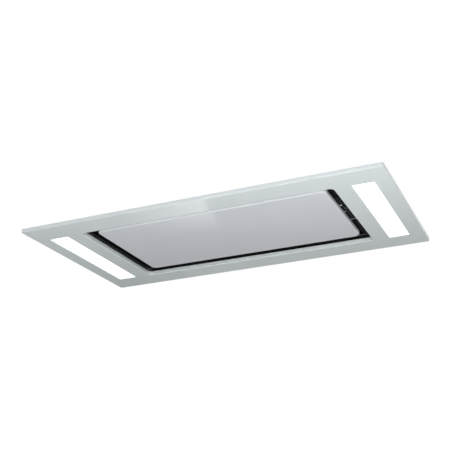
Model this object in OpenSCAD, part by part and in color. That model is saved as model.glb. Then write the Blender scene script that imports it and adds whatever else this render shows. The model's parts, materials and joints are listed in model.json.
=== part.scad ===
// Ceiling range hood, 900 x 500 mm, seen from the room as a flush white fascia with a
// centre panel that swings down, a dark suction gap all round it and a light at each end.
// The origin is the centre of the fascia's underside. +X runs along the long side,
// +Y away from the cook and +Z up into the ceiling.

/* [Fascia] */
// Width of the fascia
fascia_w = 900; // [860:10:1000]
// Depth of the fascia
fascia_d = 500; // [480:10:560]
// Height of the fascia's folded side
fascia_h = 10; // [9:1:16]
// Thickness of the fascia sheet
fascia_t = 1.5; // [1.2:0.1:1.8]
// Corner radius in plan
fascia_corner_r = 6; // [5:1:12]
// Radius of the folded edges
fascia_edge_r = 2.5; // [2:0.1:3]
// Width of the flange turned in along the top of the side
fascia_return_w = 11; // [8:1:12]
// Thickness of the foam gasket on that flange
gasket_t = 2; // [1:0.5:3]
// Width of the foam gasket
gasket_w = 7; // [5:0.5:7]

/* [Opening and centre panel] */
// Width of the fascia between its short side and the opening
end_border = 130; // [125:1:140]
// Width of the fascia between its long side and the opening
side_border = 70; // [66:1:76]
// Corner radius of the opening
opening_corner_r = 11; // [8:1:14]
// Height of the lip turned up round the opening
lip_h = 10; // [9:0.5:14]
// Suction gap between the panel and the opening
panel_gap = 25; // [22:1:28]
// How far the panel's underside lies above the fascia's underside
panel_recess = 8; // [6:1:10]
// Thickness of the whole panel
panel_h = 10; // [9:1:11]
// Thickness of the panel's sheets
panel_t = 1.2; // [1:0.1:1.5]
// Corner radius of the panel in plan
panel_corner_r = 16; // [12:1:20]
// Radius of the panel's folded edges
panel_edge_r = 4; // [2:0.5:4]

/* [Panel hinges and catches] */
// Distance of each hinge from the panel's short side
hinge_end = 95; // [60:5:140]
// Distance of the pivot in from the panel's far edge
hinge_in = 7; // [6:1:9]
// Height of the pivot above the panel
hinge_rise = 8; // [8:0.5:9]
// Radius of the hinge pin
hinge_pin_r = 2; // [1.5:0.1:2.5]
// Outer radius of the bracket's ears
hinge_ear_r = 6; // [5.5:0.1:6]
// Width of the knuckle between the ears
hinge_knuckle_w = 14; // [10:1:20]
// Thickness of the hinge's sheet
hinge_t = 1.5; // [1:0.1:2]
// Distance of the catches in from the panel's near edge
catch_in = 6; // [5:1:8]
// Length of a catch magnet
catch_w = 30; // [20:1:40]

/* [Lights] */
// Width of a light window
light_w = 51; // [40:1:54]
// How far each end of the window reaches past the opening, or stops short of it below zero
light_past = -2; // [-6:1:6]
// Distance of the window from the fascia's short side
light_margin = 37; // [36:1:40]
// Height of the lip round the window, on which the diffuser lies
light_lip_h = 4; // [3:0.5:5]
// Thickness of the opal diffuser
diffuser_t = 3; // [2:0.5:4]
// Height of the light box
light_box_h = 30; // [22:1:32]
// Light emitters in each of the two rows of a board
led_count = 18; // [8:1:24]

/* [Liner and base pan] */
// Thickness of the liner and pan sheet
pan_t = 1.2; // [1:0.1:1.5]
// Height of the base pan above the fascia's underside
pan_z = 46; // [45:1:50]
// Pitch of the slots in the liner's short walls
slot_pitch = 10; // [8:1:14]
// Width of a slot
slot_w = 5; // [3:0.5:6]
// Height of a slot
slot_h = 11; // [8:1:14]
// Height of the drip rail on the far wall
rail_h = 5; // [4:0.5:6]

/* [Grease filters] */
// Distance of the filter bays from the short walls of the liner
bay_end = 33; // [30:1:45]
// Distance of the filter bays from the long walls of the liner
bay_side = 45; // [43:1:55]
// Thickness of a filter
filter_h = 10; // [9:0.5:12]
// Width of the filter frame's rim
filter_rim = 16; // [14:1:18]
// Wall of the filter frame
filter_t = 1.2; // [1:0.1:1.5]
// Bar between the two filter bays
mullion_w = 14; // [10:1:16]
// Pitch of the expanded mesh along X
mesh_pitch_x = 24; // [20:1:32]
// Pitch of the expanded mesh along Y
mesh_pitch_y = 13; // [12:1:18]
// Width of a strand of the mesh
strand_w = 2.2; // [1.6:0.1:2.6]
// Width of the latch
latch_w = 30; // [20:1:40]
// How far the latch bolt reaches past the filter
latch_reach = 4; // [3:0.5:5]

/* [Control strip] */
// Length of the control plate
control_len = 148; // [110:2:160]
// Place of the push button along Y
control_y = -14; // [-30:1:20]
// Radius of the push button
button_r = 4; // [3:0.5:5]
// Travel of the push button
button_travel = 2; // [1:0.5:2.5]
// Distance of the lens and the window from the button
lens_pitch = 20; // [16:1:30]
// How far the control plate reaches in over the panel
control_over = 9; // [6:1:12]

/* [Housing] */
// How far the housing stands in from the fascia's sides
housing_inset = 20; // [18:1:22]
// Gap between the filter bays and the blower above them
plenum_gap = 8; // [6:1:30]
// Thickness of the housing sheet
housing_t = 1.2; // [1:0.1:1.5]
// Height of the hanger brackets
hanger_h = 24; // [20:1:35]
// Radius of the holes for the hanger rods
hanger_hole_r = 4.5; // [3.5:0.5:5.5]

/* [Blower] */
// Radius of the blower wheel
wheel_r = 75; // [68:1:75]
// Width of the blower wheel
wheel_w = 130; // [100:2:140]
// Number of blades
blade_count = 40; // [24:1:48]
// Radial depth of a blade
blade_depth = 13; // [10:1:14]
// Thickness of a blade
blade_t = 1; // [0.8:0.1:1.4]
// Gap between the wheel and the cut-off
cutoff_gap = 7; // [6:0.5:9]
// Side of the square whose corners are the four centres of the scroll
scroll_step = 13; // [10:0.5:13]
// Thickness of the scroll sheet
scroll_t = 1.2; // [1:0.1:1.5]
// Radius of the motor
motor_r = 44; // [36:1:46]
// How far the motor stands out of the blower's side
motor_out = 18; // [12:1:24]
// Radius of the motor shaft
shaft_r = 4; // [3:0.5:5]

/* [Duct collar] */
// Outside diameter of the spigot
duct_d = 150; // [120:5:160]
// Height of the spigot
collar_h = 50; // [40:5:80]
// Wall of the spigot
collar_t = 1.5; // [1.2:0.1:2]
// Thickness of a flap
flap_t = 1.2; // [1:0.1:1.6]
// Radius of the flap pin
flap_pin_r = 1.5; // [1.2:0.1:2]

/* [Electronics] */
// Width of the electronics box
box_w = 96; // [80:1:100]
// Depth of the electronics box
box_d = 150; // [120:2:180]
// Height of the electronics box
box_h = 55; // [50:1:70]
// Wall of the electronics box
box_t = 2; // [1.5:0.1:2.5]
// Radius of the bore of the cable gland
gland_bore_r = 4; // [3:0.5:5]

/* [Hidden] */
$fn = 64;

// One overrun for every cut, the clearance at a seat and the running clearance of a pin
overrun = 1;
seat_gap = 0.3;
run_gap = 0.06;
hole_gap = 0.2;

// Opening and centre panel
opening_w = fascia_w - 2 * end_border;
opening_d = fascia_d - 2 * side_border;
panel_w = opening_w - 2 * panel_gap;
panel_d = opening_d - 2 * panel_gap;
panel_top = panel_recess + panel_h;

// Panel hinge and catch
hinge_x = panel_w / 2 - hinge_end;
hinge_y = panel_d / 2 - hinge_in;
hinge_z = panel_top + hinge_rise;
hinge_barrel_r = hinge_ear_r - hinge_t / 2;
hinge_foot_w = 52;
hinge_foot_d = 14;
pin_head_h = 1;
leaf_foot_w = 30;
leaf_foot_d = 12;
catch_x = hinge_x;
catch_y = -(panel_d / 2 - catch_in);
catch_d = 12;
magnet_h = 9;
strike_w = 24;
strike_d = 10;
strike_top = pan_z - magnet_h - seat_gap;

// Lights
light_x = fascia_w / 2 - light_margin - light_w / 2;
light_len = opening_d + 2 * light_past;
light_side = 4.5;
light_box_t = 1;
light_foot = 12;
light_box_top = fascia_t + light_box_h;
light_stud_r = 2;
light_stud_h = 6;
nut_r = 4;
nut_h = 3;
diffuser_side = light_side - light_box_t - seat_gap;
led_board_t = 1.6;
led_board_w = light_w - light_side;
led_w = 5;
led_h = 1;
driver_w = 150;
driver_side = 6.8;
driver_d = side_border - pan_t - housing_inset - housing_t - 2 * driver_side;
driver_h = 22;
driver_x = 120;
driver_y = opening_d / 2 + pan_t + driver_side + driver_d / 2;
driver_foot = 12;

// Liner, drip rail and base pan
liner_z = lip_h;
slot_z = liner_z + slot_w / 2;
slot_inset = 24;
rail_t = 1.2;
rail_z = panel_top + seat_gap;
rail_lip = 5;
bay_clear = 1;
bay_w = (opening_w - mullion_w) / 2 - bay_end;
bay_d = opening_d - 2 * bay_side;
filter_w = bay_w - 2 * bay_clear;
filter_d = bay_d - 2 * bay_clear;
filter_x = (bay_w + mullion_w) / 2;
filter_top = pan_z + filter_h;
stop_z = filter_top + seat_gap;
stop_w = 8;
pan_rim_h = 18;
pan_top = pan_z + pan_t;

// Filters
frame_corner_r = 6;
mesh_tuck = 4;
mesh_t = 0.9;
mesh_w = filter_w - 2 * (filter_rim - mesh_tuck);
mesh_d = filter_d - 2 * (filter_rim - mesh_tuck);
tab_w = 22;
tab_h = 2;
tab_x = 80;
tab_end = 2;
tab_reach = bay_clear + pan_t + tab_end;
latch_t = 2.4;
latch_d = 8;
latch_bolt_w = latch_w * 2 / 3;
latch_travel = latch_reach + hole_gap;
latch_z = pan_z + filter_h / 2 - latch_t / 2;
latch_pull_w = 14;
latch_pull_t = 2;
latch_pull_h = 5;
latch_y = -filter_d / 2 + filter_t + seat_gap;

// Control strip
shelf_t = 1.2;
shelf_side = 2;
shelf_x0 = panel_w / 2 + shelf_side;
shelf_x1 = opening_w / 2 - hole_gap;
control_t = 1.5;
shelf_rise = 3.6;
shelf_z = panel_top + shelf_rise;
control_z = shelf_z - control_t;
control_x0 = shelf_x0 - control_over;
control_w = shelf_x1 - control_x0 - 2 * seat_gap;
control_x = (control_x0 + shelf_x1) / 2;
control_corner_r = 2;
button_flange = 1;
button_proud = 0.8;
button_flange_t = 1.2;
button_stem_r = 2;
button_stem_h = 2;
window_r = 3;
lens_r = 2;
seam_w = 3;
seam_y = control_y + control_len / 2 + seat_gap;
control_box_h = 18;
control_box_t = 1.5;
control_box_side = 8;
button_x = shelf_x0 + 2 * seat_gap + control_box_t + button_flange + button_r;
lens_in = 7;
lens_x = button_x - lens_in;
control_board_t = 1.6;
switch_w = 6;
switch_h = 2.4;

// Housing
housing_w = fascia_w - 2 * housing_inset;
housing_d = fascia_d - 2 * housing_inset;
housing_z = fascia_h + gasket_t / 2;
housing_corner_r = 4;
housing_flange = 9;
top_flange = 15;
top_t = 1.2;
frame_t = 1.5;
frame_leg = 14;
bead_w = 12;
bead_r = 5;
bead_h = 2;
bead_pitch = 36;
bead_len_share = 0.55;
magnet_w = 40;
magnet_d = 8;
hanger_w = 40;
hanger_t = 2.5;
hanger_foot = 30;
hanger_inset = 12;

// Screws
screw_r = 2;
screw_head_r = 3.8;
screw_head_h = 2.4;
screw_tail = 5;
screw_hole_r = screw_r + run_gap;

// Blower: the scroll is laid out on four centres, the corners of a small square
scroll_base = wheel_r + cutoff_gap;
wheel_side_gap = 8;
scroll_w = wheel_w + 2 * wheel_side_gap;
scroll_rim = 6;
scroll_flange_w = 14;
scroll_flange_t = 1.2;
cutoff_angle = 50;
cutoff_r = 2.5;
blower_y = -scroll_step;
blower_z = stop_z + pan_t + plenum_gap + scroll_rim + scroll_base + 2.5 * scroll_step;
top_z = blower_z + scroll_step / 2 + scroll_base + scroll_rim + seat_gap + scroll_flange_t;
plate_top = top_z + top_t;
outlet_u0 = scroll_base * cos(cutoff_angle) - scroll_step / 2;
outlet_u1 = scroll_base + 3.5 * scroll_step;
outlet_mid = (outlet_u0 + outlet_u1) / 2;
outlet_v = top_z - scroll_flange_t - blower_z;
inlet_r = wheel_r - blade_depth - blade_t;
bell_r = wheel_side_gap;
ring_w = 5;
ring_t = 2;
wheel_disc_t = 1.5;
hub_r = 11;
hub_len = 28;
hub_back = 10;
disc_hole_r = 8;
disc_hole_at = (hub_r + wheel_r - blade_depth) / 2;
disc_holes = 6;
blade_lean = 9;
blade_steps = 5;
motor_clear = 4;
motor_front = hub_back + motor_clear;
motor_back = scroll_w / 2 + scroll_t + motor_out;
motor_len = motor_back - motor_front;
motor_boss_r = 16;
motor_boss_h = 5;
motor_round = 6;
motor_vents = 10;
motor_vent_w = 5;
bearing_r = 11;
bearing_t = 7;
shaft_tail = 5;
bracket_t = 2;
bracket_disc_r = 30;
arm_w = 14;
arm_count = 3;
arm_at = inlet_r + bell_r + arm_w / 2 + scroll_t;
grommet_r = 7;
grommet_t = 6;
scroll_face = scroll_w / 2 + scroll_t;
bolt_len = motor_back + bracket_t - scroll_w / 2 + screw_tail;
capacitor_r = 15;
capacitor_len = 55;
capacitor_u = -inlet_r - scroll_t;
capacitor_v = -inlet_r - bell_r;
clip_t = 1;
clip_w = 12;

// Duct collar and flaps
duct_r = duct_d / 2;
duct_y = blower_y + outlet_mid;
collar_flange = 14;
collar_flange_t = 1.5;
collar_z = plate_top + collar_flange_t;
collar_side = max(duct_d + 2 * collar_flange, scroll_w + 2 * scroll_flange_w);
collar_screw_in = 8;
stop_ring_w = 6;
stop_ring_t = 1.5;
flap_z = collar_z + stop_ring_t + seat_gap;
flap_r = duct_r - collar_t - seat_gap * 3;
flap_knuckle_r = flap_pin_r + flap_t;
flap_pin_z = flap_z + flap_knuckle_r;
flap_split = 0.8;
flap_knuckle_w = 12;
flap_knuckle_x = duct_r / 4;

// Electronics
box_x1 = housing_w / 2 - housing_t - hole_gap - pan_t - seat_gap;
box_x = box_x1 - box_w / 2;
cover_t = 2;
box_corner_r = 4;
board_t = 1.6;
board_rise = 6;
board_side = 4;
gland_y = -box_d / 4;
gland_share = 0.6;
gland_z = pan_top + gland_share * box_h;
gland_r = 8;
gland_hex_r = 12;
gland_hex_t = 5;
gland_dome_r = 10;
gland_out = housing_inset - seat_gap;
gland_in = 12;
terminal_w = 14;
terminal_d = 50;
terminal_h = 16;
terminal_ways = 5;

// Plate with rounded corners, in plan
module round_rect(w, d, r) {
    square([w - 2 * r, d], center = true);
    square([w, d - 2 * r], center = true);
    for (sx = [-1, 1], sy = [-1, 1])
        translate([sx * (w / 2 - r), sy * (d / 2 - r)]) circle(r);
}

// Carries a profile once round a rounded rectangle. The profile's x counts outwards
// from the centre of the corner arc and its y counts up.
module sweep_ring(w, d, r) {
    for (turn = [0, 180]) rotate([0, 0, turn]) {
        translate([-(w / 2 - r), d / 2 - r, 0])
            rotate([90, 0, 90]) linear_extrude(w - 2 * r) children();
        translate([w / 2 - r, d / 2 - r, 0])
            rotate([90, 0, 0]) linear_extrude(d - 2 * r) children();
        translate([w / 2 - r, d / 2 - r, 0])
            rotate_extrude(angle = 90) children();
        translate([-(w / 2 - r), d / 2 - r, 0])
            rotate([0, 0, 90]) rotate_extrude(angle = 90) children();
    }
}

// Section of a tray's folded side, with the sheet that runs in to the corner's centre
module side_profile(r, h, t, e) {
    difference() {
        union() {
            translate([0, e]) square([r, h - e]);
            square([r - e, e]);
            translate([r - e, e]) circle(e);
        }
        translate([0, e]) square([r - t, h]);
        translate([0, t]) square([r - e, h]);
        translate([r - e, e]) circle(e - t);
    }
}

// Open tray of folded sheet
module folded_tray(w, d, h, t, r, e) {
    sweep_ring(w, d, r) side_profile(r, h, t, e);
    linear_extrude(t) square([w - 2 * r, d - 2 * r], center = true);
}

// Lip turned up round a rounded hole, with its bend
module folded_lip(w, d, h, t, r, e) {
    sweep_ring(w + 2 * e, d + 2 * e, r + e) {
        intersection() {
            difference() {
                translate([r + e, e]) circle(e);
                translate([r + e, e]) circle(e - t);
            }
            translate([r, 0]) square([e, e]);
        }
        translate([r, e]) square([t, h - e]);
    }
}

module screw(length) {
    cylinder(h = screw_head_h, r = screw_head_r);
    translate([0, 0, -length]) cylinder(h = length, r = screw_r);
}

// Hole for a screw, long enough to pass every sheet under its head
module screw_hole() {
    translate([0, 0, -pan_rim_h]) cylinder(h = pan_rim_h + overrun, r = screw_hole_r);
}

// Points of the flange screws of the base pan: wall side, then place along it
pan_screw_shares = [-0.8, 0, 0.8];
module at_pan_screws() {
    for (side = [0, 180], share = pan_screw_shares)
        rotate([0, 0, side])
            translate([share * housing_w / 2, housing_d / 2, pan_top + pan_rim_h / 2])
                rotate([-90, 0, 0]) children();
}

top_screw_shares = [-0.7, -0.25, 0.25, 0.7];
module at_top_screws() {
    for (side = [0, 180], share = top_screw_shares)
        rotate([0, 0, side])
            translate([share * housing_w / 2, housing_d / 2 - housing_t - top_flange / 2, plate_top])
                children();
}

// Each screw of the outlet clamps the collar, the top plate and the scroll's flange
module at_collar_screws() {
    for (sx = [-1, 1], sy = [-1, 1])
        translate([sx * (collar_side / 2 - collar_screw_in),
            duct_y + sy * (collar_side / 2 - collar_screw_in), collar_z]) children();
}

hanger_screw_shares = [0.25, 0.75];
module at_hanger_screws() {
    at_corners() for (share = hanger_screw_shares)
        translate([housing_w / 2 - hanger_inset - (hanger_foot - hanger_t) / 2,
            housing_d / 2 - hanger_inset - share * hanger_w, plate_top + hanger_t]) children();
}

// Screws of the hinge brackets, put in from below
module at_hinge_screws() {
    for (end = [-1, 1]) at_hinges()
        translate([end * (hinge_foot_w / 2 - screw_head_r - hinge_t), 0, pan_z - hinge_t - hinge_z])
            rotate([180, 0, 0]) children();
}

// Screws of the light driver, put in from below through its feet
module at_driver_screws() {
    for (end = [-1, 1])
        translate([driver_x + end * (driver_w + driver_foot) / 2, driver_y, pan_z - box_t])
            rotate([180, 0, 0]) children();
}

// Bolts of the motor bracket, through its legs and grommets into the scroll's side
module at_motor_bolts() {
    in_scroll(-motor_back - bracket_t) at_arms() rotate([180, 0, 0]) children();
}

module at_hinges() {
    for (side = [-1, 1]) translate([side * hinge_x, hinge_y, hinge_z]) children();
}

module at_corners() {
    for (mx = [0, 1], my = [0, 1]) mirror([mx, 0, 0]) mirror([0, my, 0]) children();
}

// Fascia: one folded sheet with the opening's lip, the light windows and their lips
module fascia() {
    color("white") {
        difference() {
            union() {
                folded_tray(fascia_w, fascia_d, fascia_h, fascia_t, fascia_corner_r, fascia_edge_r);
                for (side = [-1, 1]) translate([side * light_x, 0, 0])
                    linear_extrude(light_lip_h)
                        square([light_w + 2 * fascia_t, light_len + 2 * fascia_t], center = true);
            }
            translate([0, 0, -overrun]) linear_extrude(fascia_h)
                round_rect(opening_w + 2 * fascia_edge_r, opening_d + 2 * fascia_edge_r,
                    opening_corner_r + fascia_edge_r);
            for (side = [-1, 1]) translate([side * light_x, 0, -overrun])
                linear_extrude(fascia_h) square([light_w, light_len], center = true);
        }
        folded_lip(opening_w, opening_d, lip_h, fascia_t, opening_corner_r, fascia_edge_r);
        // Flange turned in along the top
        translate([0, 0, fascia_h - fascia_t]) linear_extrude(fascia_t) difference() {
            round_rect(fascia_w, fascia_d, fascia_corner_r);
            square([fascia_w - 2 * fascia_return_w, fascia_d - 2 * fascia_return_w], center = true);
        }
        // Studs for the light boxes
        at_light_studs() cylinder(h = light_stud_h, r = light_stud_r);
    }
}

module at_light_studs() {
    for (sx = [-1, 1], sy = [-1, 1], across = [-1, 1])
        translate([sx * light_x + across * light_w / 3,
            sy * (light_len / 2 + light_side + light_foot / 2), fascia_t]) children();
}

module ceiling_gasket() {
    color("dimgray") translate([0, 0, fascia_h]) linear_extrude(gasket_t) difference() {
        round_rect(fascia_w - 2 * fascia_t, fascia_d - 2 * fascia_t, fascia_corner_r - fascia_t);
        square([fascia_w - 2 * (fascia_t + gasket_w), fascia_d - 2 * (fascia_t + gasket_w)],
            center = true);
    }
}

// Bar magnets that hold the fascia up to the housing's lower flange
module fascia_magnets() {
    magnet_y = housing_d / 2 - housing_t - magnet_d / 2;
    color("silver") for (side = [-1, 1], share = pan_screw_shares)
        translate([share * housing_w / 2 - magnet_w / 2, side * magnet_y - magnet_d / 2, fascia_t])
            cube([magnet_w, magnet_d, housing_z - fascia_t]);
}

// Liner round the opening, with suction slots in its short walls
module liner() {
    slot_span = opening_d - 2 * slot_inset;
    slots = floor(slot_span / slot_pitch);
    color([0.06, 0.06, 0.07]) difference() {
        translate([0, 0, liner_z]) linear_extrude(pan_z - liner_z) difference() {
            round_rect(opening_w + 2 * pan_t, opening_d + 2 * pan_t, opening_corner_r + pan_t);
            round_rect(opening_w, opening_d, opening_corner_r);
        }
        for (side = [-1, 1], i = [0 : slots])
            translate([side * (opening_w + pan_t) / 2 - pan_t,
                (i - slots / 2) * slot_pitch - slot_w / 2, slot_z])
                cube([2 * pan_t, slot_w, slot_h]);
    }
}

// Bright rail along the far wall that turns grease back from the gap
module drip_rail() {
    rail_y = opening_d / 2;
    rail_len = opening_w - 2 * opening_corner_r;
    color("silver") translate([-rail_len / 2, 0, rail_z]) {
        translate([0, rail_y - rail_t, 0]) cube([rail_len, rail_t, rail_h]);
        translate([0, rail_y - rail_lip, 0]) cube([rail_len, rail_lip, rail_t]);
        translate([0, rail_y - rail_lip, 0]) cube([rail_len, rail_t, rail_h / 2]);
    }
}

// Base pan: closes the housing, with two bays whose walls and stops hold the filters
module base_pan() {
    pan_w = housing_w - 2 * (housing_t + hole_gap);
    pan_d = housing_d - 2 * (housing_t + hole_gap);
    color([0.1, 0.1, 0.11]) difference() {
        union() {
            translate([0, 0, pan_z]) linear_extrude(pan_t) round_rect(pan_w, pan_d, housing_corner_r);
            translate([0, 0, pan_z]) linear_extrude(pan_rim_h + pan_t) difference() {
                round_rect(pan_w, pan_d, housing_corner_r);
                round_rect(pan_w - 2 * pan_t, pan_d - 2 * pan_t, housing_corner_r - pan_t);
            }
            for (side = [-1, 1]) translate([side * filter_x, 0, pan_z])
                linear_extrude(stop_z + pan_t - pan_z)
                    square([bay_w + 2 * pan_t, bay_d + 2 * pan_t], center = true);
        }
        for (side = [-1, 1]) translate([side * filter_x, 0, 0]) {
            translate([0, 0, pan_z - overrun]) linear_extrude(stop_z - pan_z + overrun)
                square([bay_w, bay_d], center = true);
            translate([0, 0, pan_z]) linear_extrude(pan_rim_h * 2)
                square([bay_w - 2 * stop_w, bay_d - 2 * stop_w], center = true);
            // Slots for the latch bolt and the two far tabs
            translate([-latch_bolt_w / 2 - hole_gap, -bay_d / 2 - pan_t - overrun, latch_z - hole_gap])
                cube([latch_bolt_w + 2 * hole_gap, pan_t + 2 * overrun, latch_t + 2 * hole_gap]);
            for (tab = [-1, 1])
                translate([tab * tab_x - tab_w / 2 - hole_gap, bay_d / 2 - overrun,
                    latch_z - hole_gap])
                    cube([tab_w + 2 * hole_gap, pan_t + 2 * overrun, tab_h + 2 * hole_gap]);
        }
        at_pan_screws() screw_hole();
        at_hinge_screws() screw_hole();
        at_driver_screws() screw_hole();
    }
}

module light_box(side) {
    box_x = light_w + 2 * light_side;
    box_y = light_len + 2 * light_side;
    color("gainsboro") translate([side * light_x, 0, fascia_t]) difference() {
        union() {
            linear_extrude(light_box_h) square([box_x, box_y], center = true);
            linear_extrude(light_box_t) square([box_x, box_y + 2 * light_foot], center = true);
        }
        translate([0, 0, -overrun]) linear_extrude(light_box_h - light_box_t + overrun)
            square([box_x - 2 * light_box_t, box_y - 2 * light_box_t], center = true);
        translate([-side * light_x, 0, -fascia_t - overrun]) at_light_studs()
            cylinder(h = light_box_h, r = light_stud_r + run_gap);
    }
}

module light_box_nuts() {
    color("silver") at_light_studs() translate([0, 0, light_box_t]) difference() {
        cylinder(h = nut_h, r = nut_r, $fn = 6);
        translate([0, 0, -overrun]) cylinder(h = nut_h + 2 * overrun, r = light_stud_r + run_gap);
    }
}

// The same board lies in both light boxes
module led_boards() {
    board_z = light_box_top - light_box_t - led_board_t;
    led_pitch = light_len / (led_count + 1);
    for (side = [-1, 1]) translate([side * light_x, 0, board_z]) {
        color("white") linear_extrude(led_board_t)
            square([led_board_w, light_len - led_w], center = true);
        color("khaki") for (row = [-1, 1], i = [1 : led_count])
            translate([row * led_board_w / 4 - led_w / 2, i * led_pitch - light_len / 2 - led_w / 2,
                -led_h])
                cube([led_w, led_w, led_h]);
    }
}

module diffuser(side) {
    color("white") translate([side * light_x, 0, light_lip_h]) linear_extrude(diffuser_t)
        square([light_w + 2 * diffuser_side, light_len + 2 * diffuser_side], center = true);
}

// Constant current driver, hung under the base pan behind the liner
module led_driver() {
    color("whitesmoke") translate([driver_x, driver_y, pan_z - driver_h]) difference() {
        union() {
            linear_extrude(driver_h) round_rect(driver_w, driver_d, box_t);
            translate([0, 0, driver_h - box_t]) linear_extrude(box_t)
                square([driver_w + 2 * driver_foot, driver_d / 2], center = true);
        }
        translate([-driver_x, -driver_y, driver_h - pan_z]) at_driver_screws() screw_hole();
        for (end = [-1, 1], row = [-1, 0, 1])
            translate([end * driver_w / 2, row * driver_d / 4, driver_h / 3])
                cube([box_t * 2, driver_d / 8, driver_h / 4], center = true);
    }
}

// Dark shelf over the suction gap at the right-hand end
module control_shelf() {
    shelf_y = opening_d / 2 - rail_lip - seat_gap;
    color([0.08, 0.08, 0.09]) translate([0, 0, shelf_z]) linear_extrude(shelf_t) difference() {
        union() {
            intersection() {
                round_rect(opening_w - 2 * hole_gap, opening_d - 2 * hole_gap, opening_corner_r);
                translate([shelf_x0, -opening_d / 2]) square([shelf_x1, opening_d / 2 + shelf_y]);
            }
            translate([control_x0, seam_y + seam_w - control_len])
                square([shelf_x1 - control_x0, control_len]);
        }
        translate([button_x, control_y]) circle(button_r + button_flange + seat_gap);
        for (way = [-1, 1]) translate([lens_x, control_y + way * lens_pitch])
            circle(window_r + hole_gap);
    }
}

module control_plate() {
    color([0.02, 0.02, 0.025]) translate([0, 0, control_z]) linear_extrude(control_t) difference() {
        translate([control_x, control_y]) round_rect(control_w, control_len, control_corner_r);
        translate([button_x, control_y]) circle(button_r + hole_gap);
        translate([lens_x, control_y - lens_pitch]) circle(window_r + run_gap);
        translate([lens_x, control_y + lens_pitch]) circle(lens_r + run_gap);
    }
}

module control_seam_strip() {
    color("silver") translate([control_x - control_w / 2, seam_y, control_z])
        cube([control_w, seam_w, control_t]);
}

module push_button() {
    flange_z = shelf_z + seat_gap;
    color("dimgray") translate([button_x, control_y, 0]) {
        translate([0, 0, control_z - button_proud])
            cylinder(h = flange_z - control_z + button_proud, r = button_r);
        translate([0, 0, flange_z]) cylinder(h = button_flange_t, r = button_r + button_flange);
        translate([0, 0, flange_z + button_flange_t]) cylinder(h = button_stem_h, r = button_stem_r);
    }
}

module receiver_window() {
    color("gainsboro") translate([lens_x, control_y - lens_pitch, control_z])
        cylinder(h = control_t + shelf_t, r = window_r);
}

module status_lens() {
    color("white") translate([lens_x, control_y + lens_pitch, control_z]) {
        cylinder(h = control_t, r = lens_r);
        translate([0, 0, control_t]) cylinder(h = shelf_t, r = window_r);
    }
}

// Closed cover over the switch board, standing on the shelf
module control_housing() {
    top = shelf_z + shelf_t;
    color([0.12, 0.12, 0.12]) translate([control_x, control_y, top]) difference() {
        linear_extrude(control_box_h) round_rect(control_w, control_len - control_box_side, control_corner_r);
        translate([0, 0, -overrun]) linear_extrude(control_box_h - control_box_t + overrun)
            square([control_w - 2 * control_box_t, control_len - control_box_side - 2 * control_box_t],
                center = true);
    }
}

module control_board() {
    board_z = shelf_z + seat_gap + button_flange_t + button_stem_h + button_travel + seat_gap + switch_h;
    board_y = control_len - control_box_side - 2 * control_box_t - seat_gap;
    color("darkgreen") translate([control_x, control_y, board_z]) linear_extrude(control_board_t)
        square([control_w - 2 * control_box_t - seat_gap, board_y], center = true);
    color("black") translate([button_x - switch_w / 2, control_y - switch_w / 2, board_z - switch_h])
        cube([switch_w, switch_w, switch_h]);
}

// Filter frame: a channel of folded aluminium with mitred corners
module filter_frame(side) {
    color("lightgray") translate([side * filter_x, 0, pan_z]) difference() {
        union() {
            linear_extrude(filter_h) round_rect(filter_w, filter_d, frame_corner_r);
            for (tab = [-1, 1])
                translate([tab * tab_x - tab_w / 2, filter_d / 2 - filter_t, latch_z - pan_z])
                    cube([tab_w, tab_reach + filter_t, tab_h]);
        }
        translate([0, 0, -overrun]) linear_extrude(filter_h + 2 * overrun)
            square([filter_w - 2 * filter_rim, filter_d - 2 * filter_rim], center = true);
        translate([0, 0, filter_t]) linear_extrude(filter_h - 2 * filter_t)
            square([filter_w - 2 * filter_t, filter_d - 2 * filter_t], center = true);
        // Slot for the latch bolt and window for its finger pull
        translate([-latch_bolt_w / 2 - hole_gap, -filter_d / 2 - overrun, latch_z - pan_z - hole_gap])
            cube([latch_bolt_w + 2 * hole_gap, filter_rim, latch_t + 2 * hole_gap]);
        translate([-latch_pull_w / 2 - hole_gap, latch_y + latch_d / 2 - latch_pull_t / 2 - hole_gap,
            -overrun])
            cube([latch_pull_w + 2 * hole_gap, latch_pull_t + latch_travel + 2 * hole_gap,
                filter_t + 2 * overrun]);
    }
}

// Two sheets of expanded aluminium, clamped in the frame's channel
module filter_mesh(side) {
    columns = floor(mesh_w / mesh_pitch_x) - 1;
    rows = floor(mesh_d / mesh_pitch_y) - 1;
    hole_x = mesh_pitch_x / 2 - strand_w;
    hole_y = mesh_pitch_y / 2 - strand_w / 2;
    sheet_gap = filter_h - 2 * filter_t - mesh_t;
    color("silver") for (level = [0, 1])
        translate([side * filter_x, 0, pan_z + filter_t + level * sheet_gap])
            linear_extrude(mesh_t) difference() {
                square([mesh_w, mesh_d], center = true);
                for (j = [0 : rows], i = [0 : columns - j % 2])
                    translate([(i - (columns - j % 2) / 2) * mesh_pitch_x,
                        (j - rows / 2) * mesh_pitch_y])
                        polygon([[-hole_x, 0], [0, -hole_y], [hole_x, 0], [0, hole_y]]);
            }
}

// Spring latch: a bolt in the near wall, with a finger pull below the frame
module filter_latch(side) {
    color("silver") translate([side * filter_x, latch_y, latch_z]) {
        translate([-latch_w / 2, 0, 0]) cube([latch_w, latch_d, latch_t]);
        translate([-latch_bolt_w / 2, -filter_t - seat_gap - latch_reach, 0])
            cube([latch_bolt_w, latch_d, latch_t]);
        translate([-latch_pull_w / 2, (latch_d - latch_pull_t) / 2, pan_z - latch_z - latch_pull_h])
            cube([latch_pull_w, latch_pull_t, latch_z - pan_z + latch_pull_h + latch_t]);
    }
}

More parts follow.
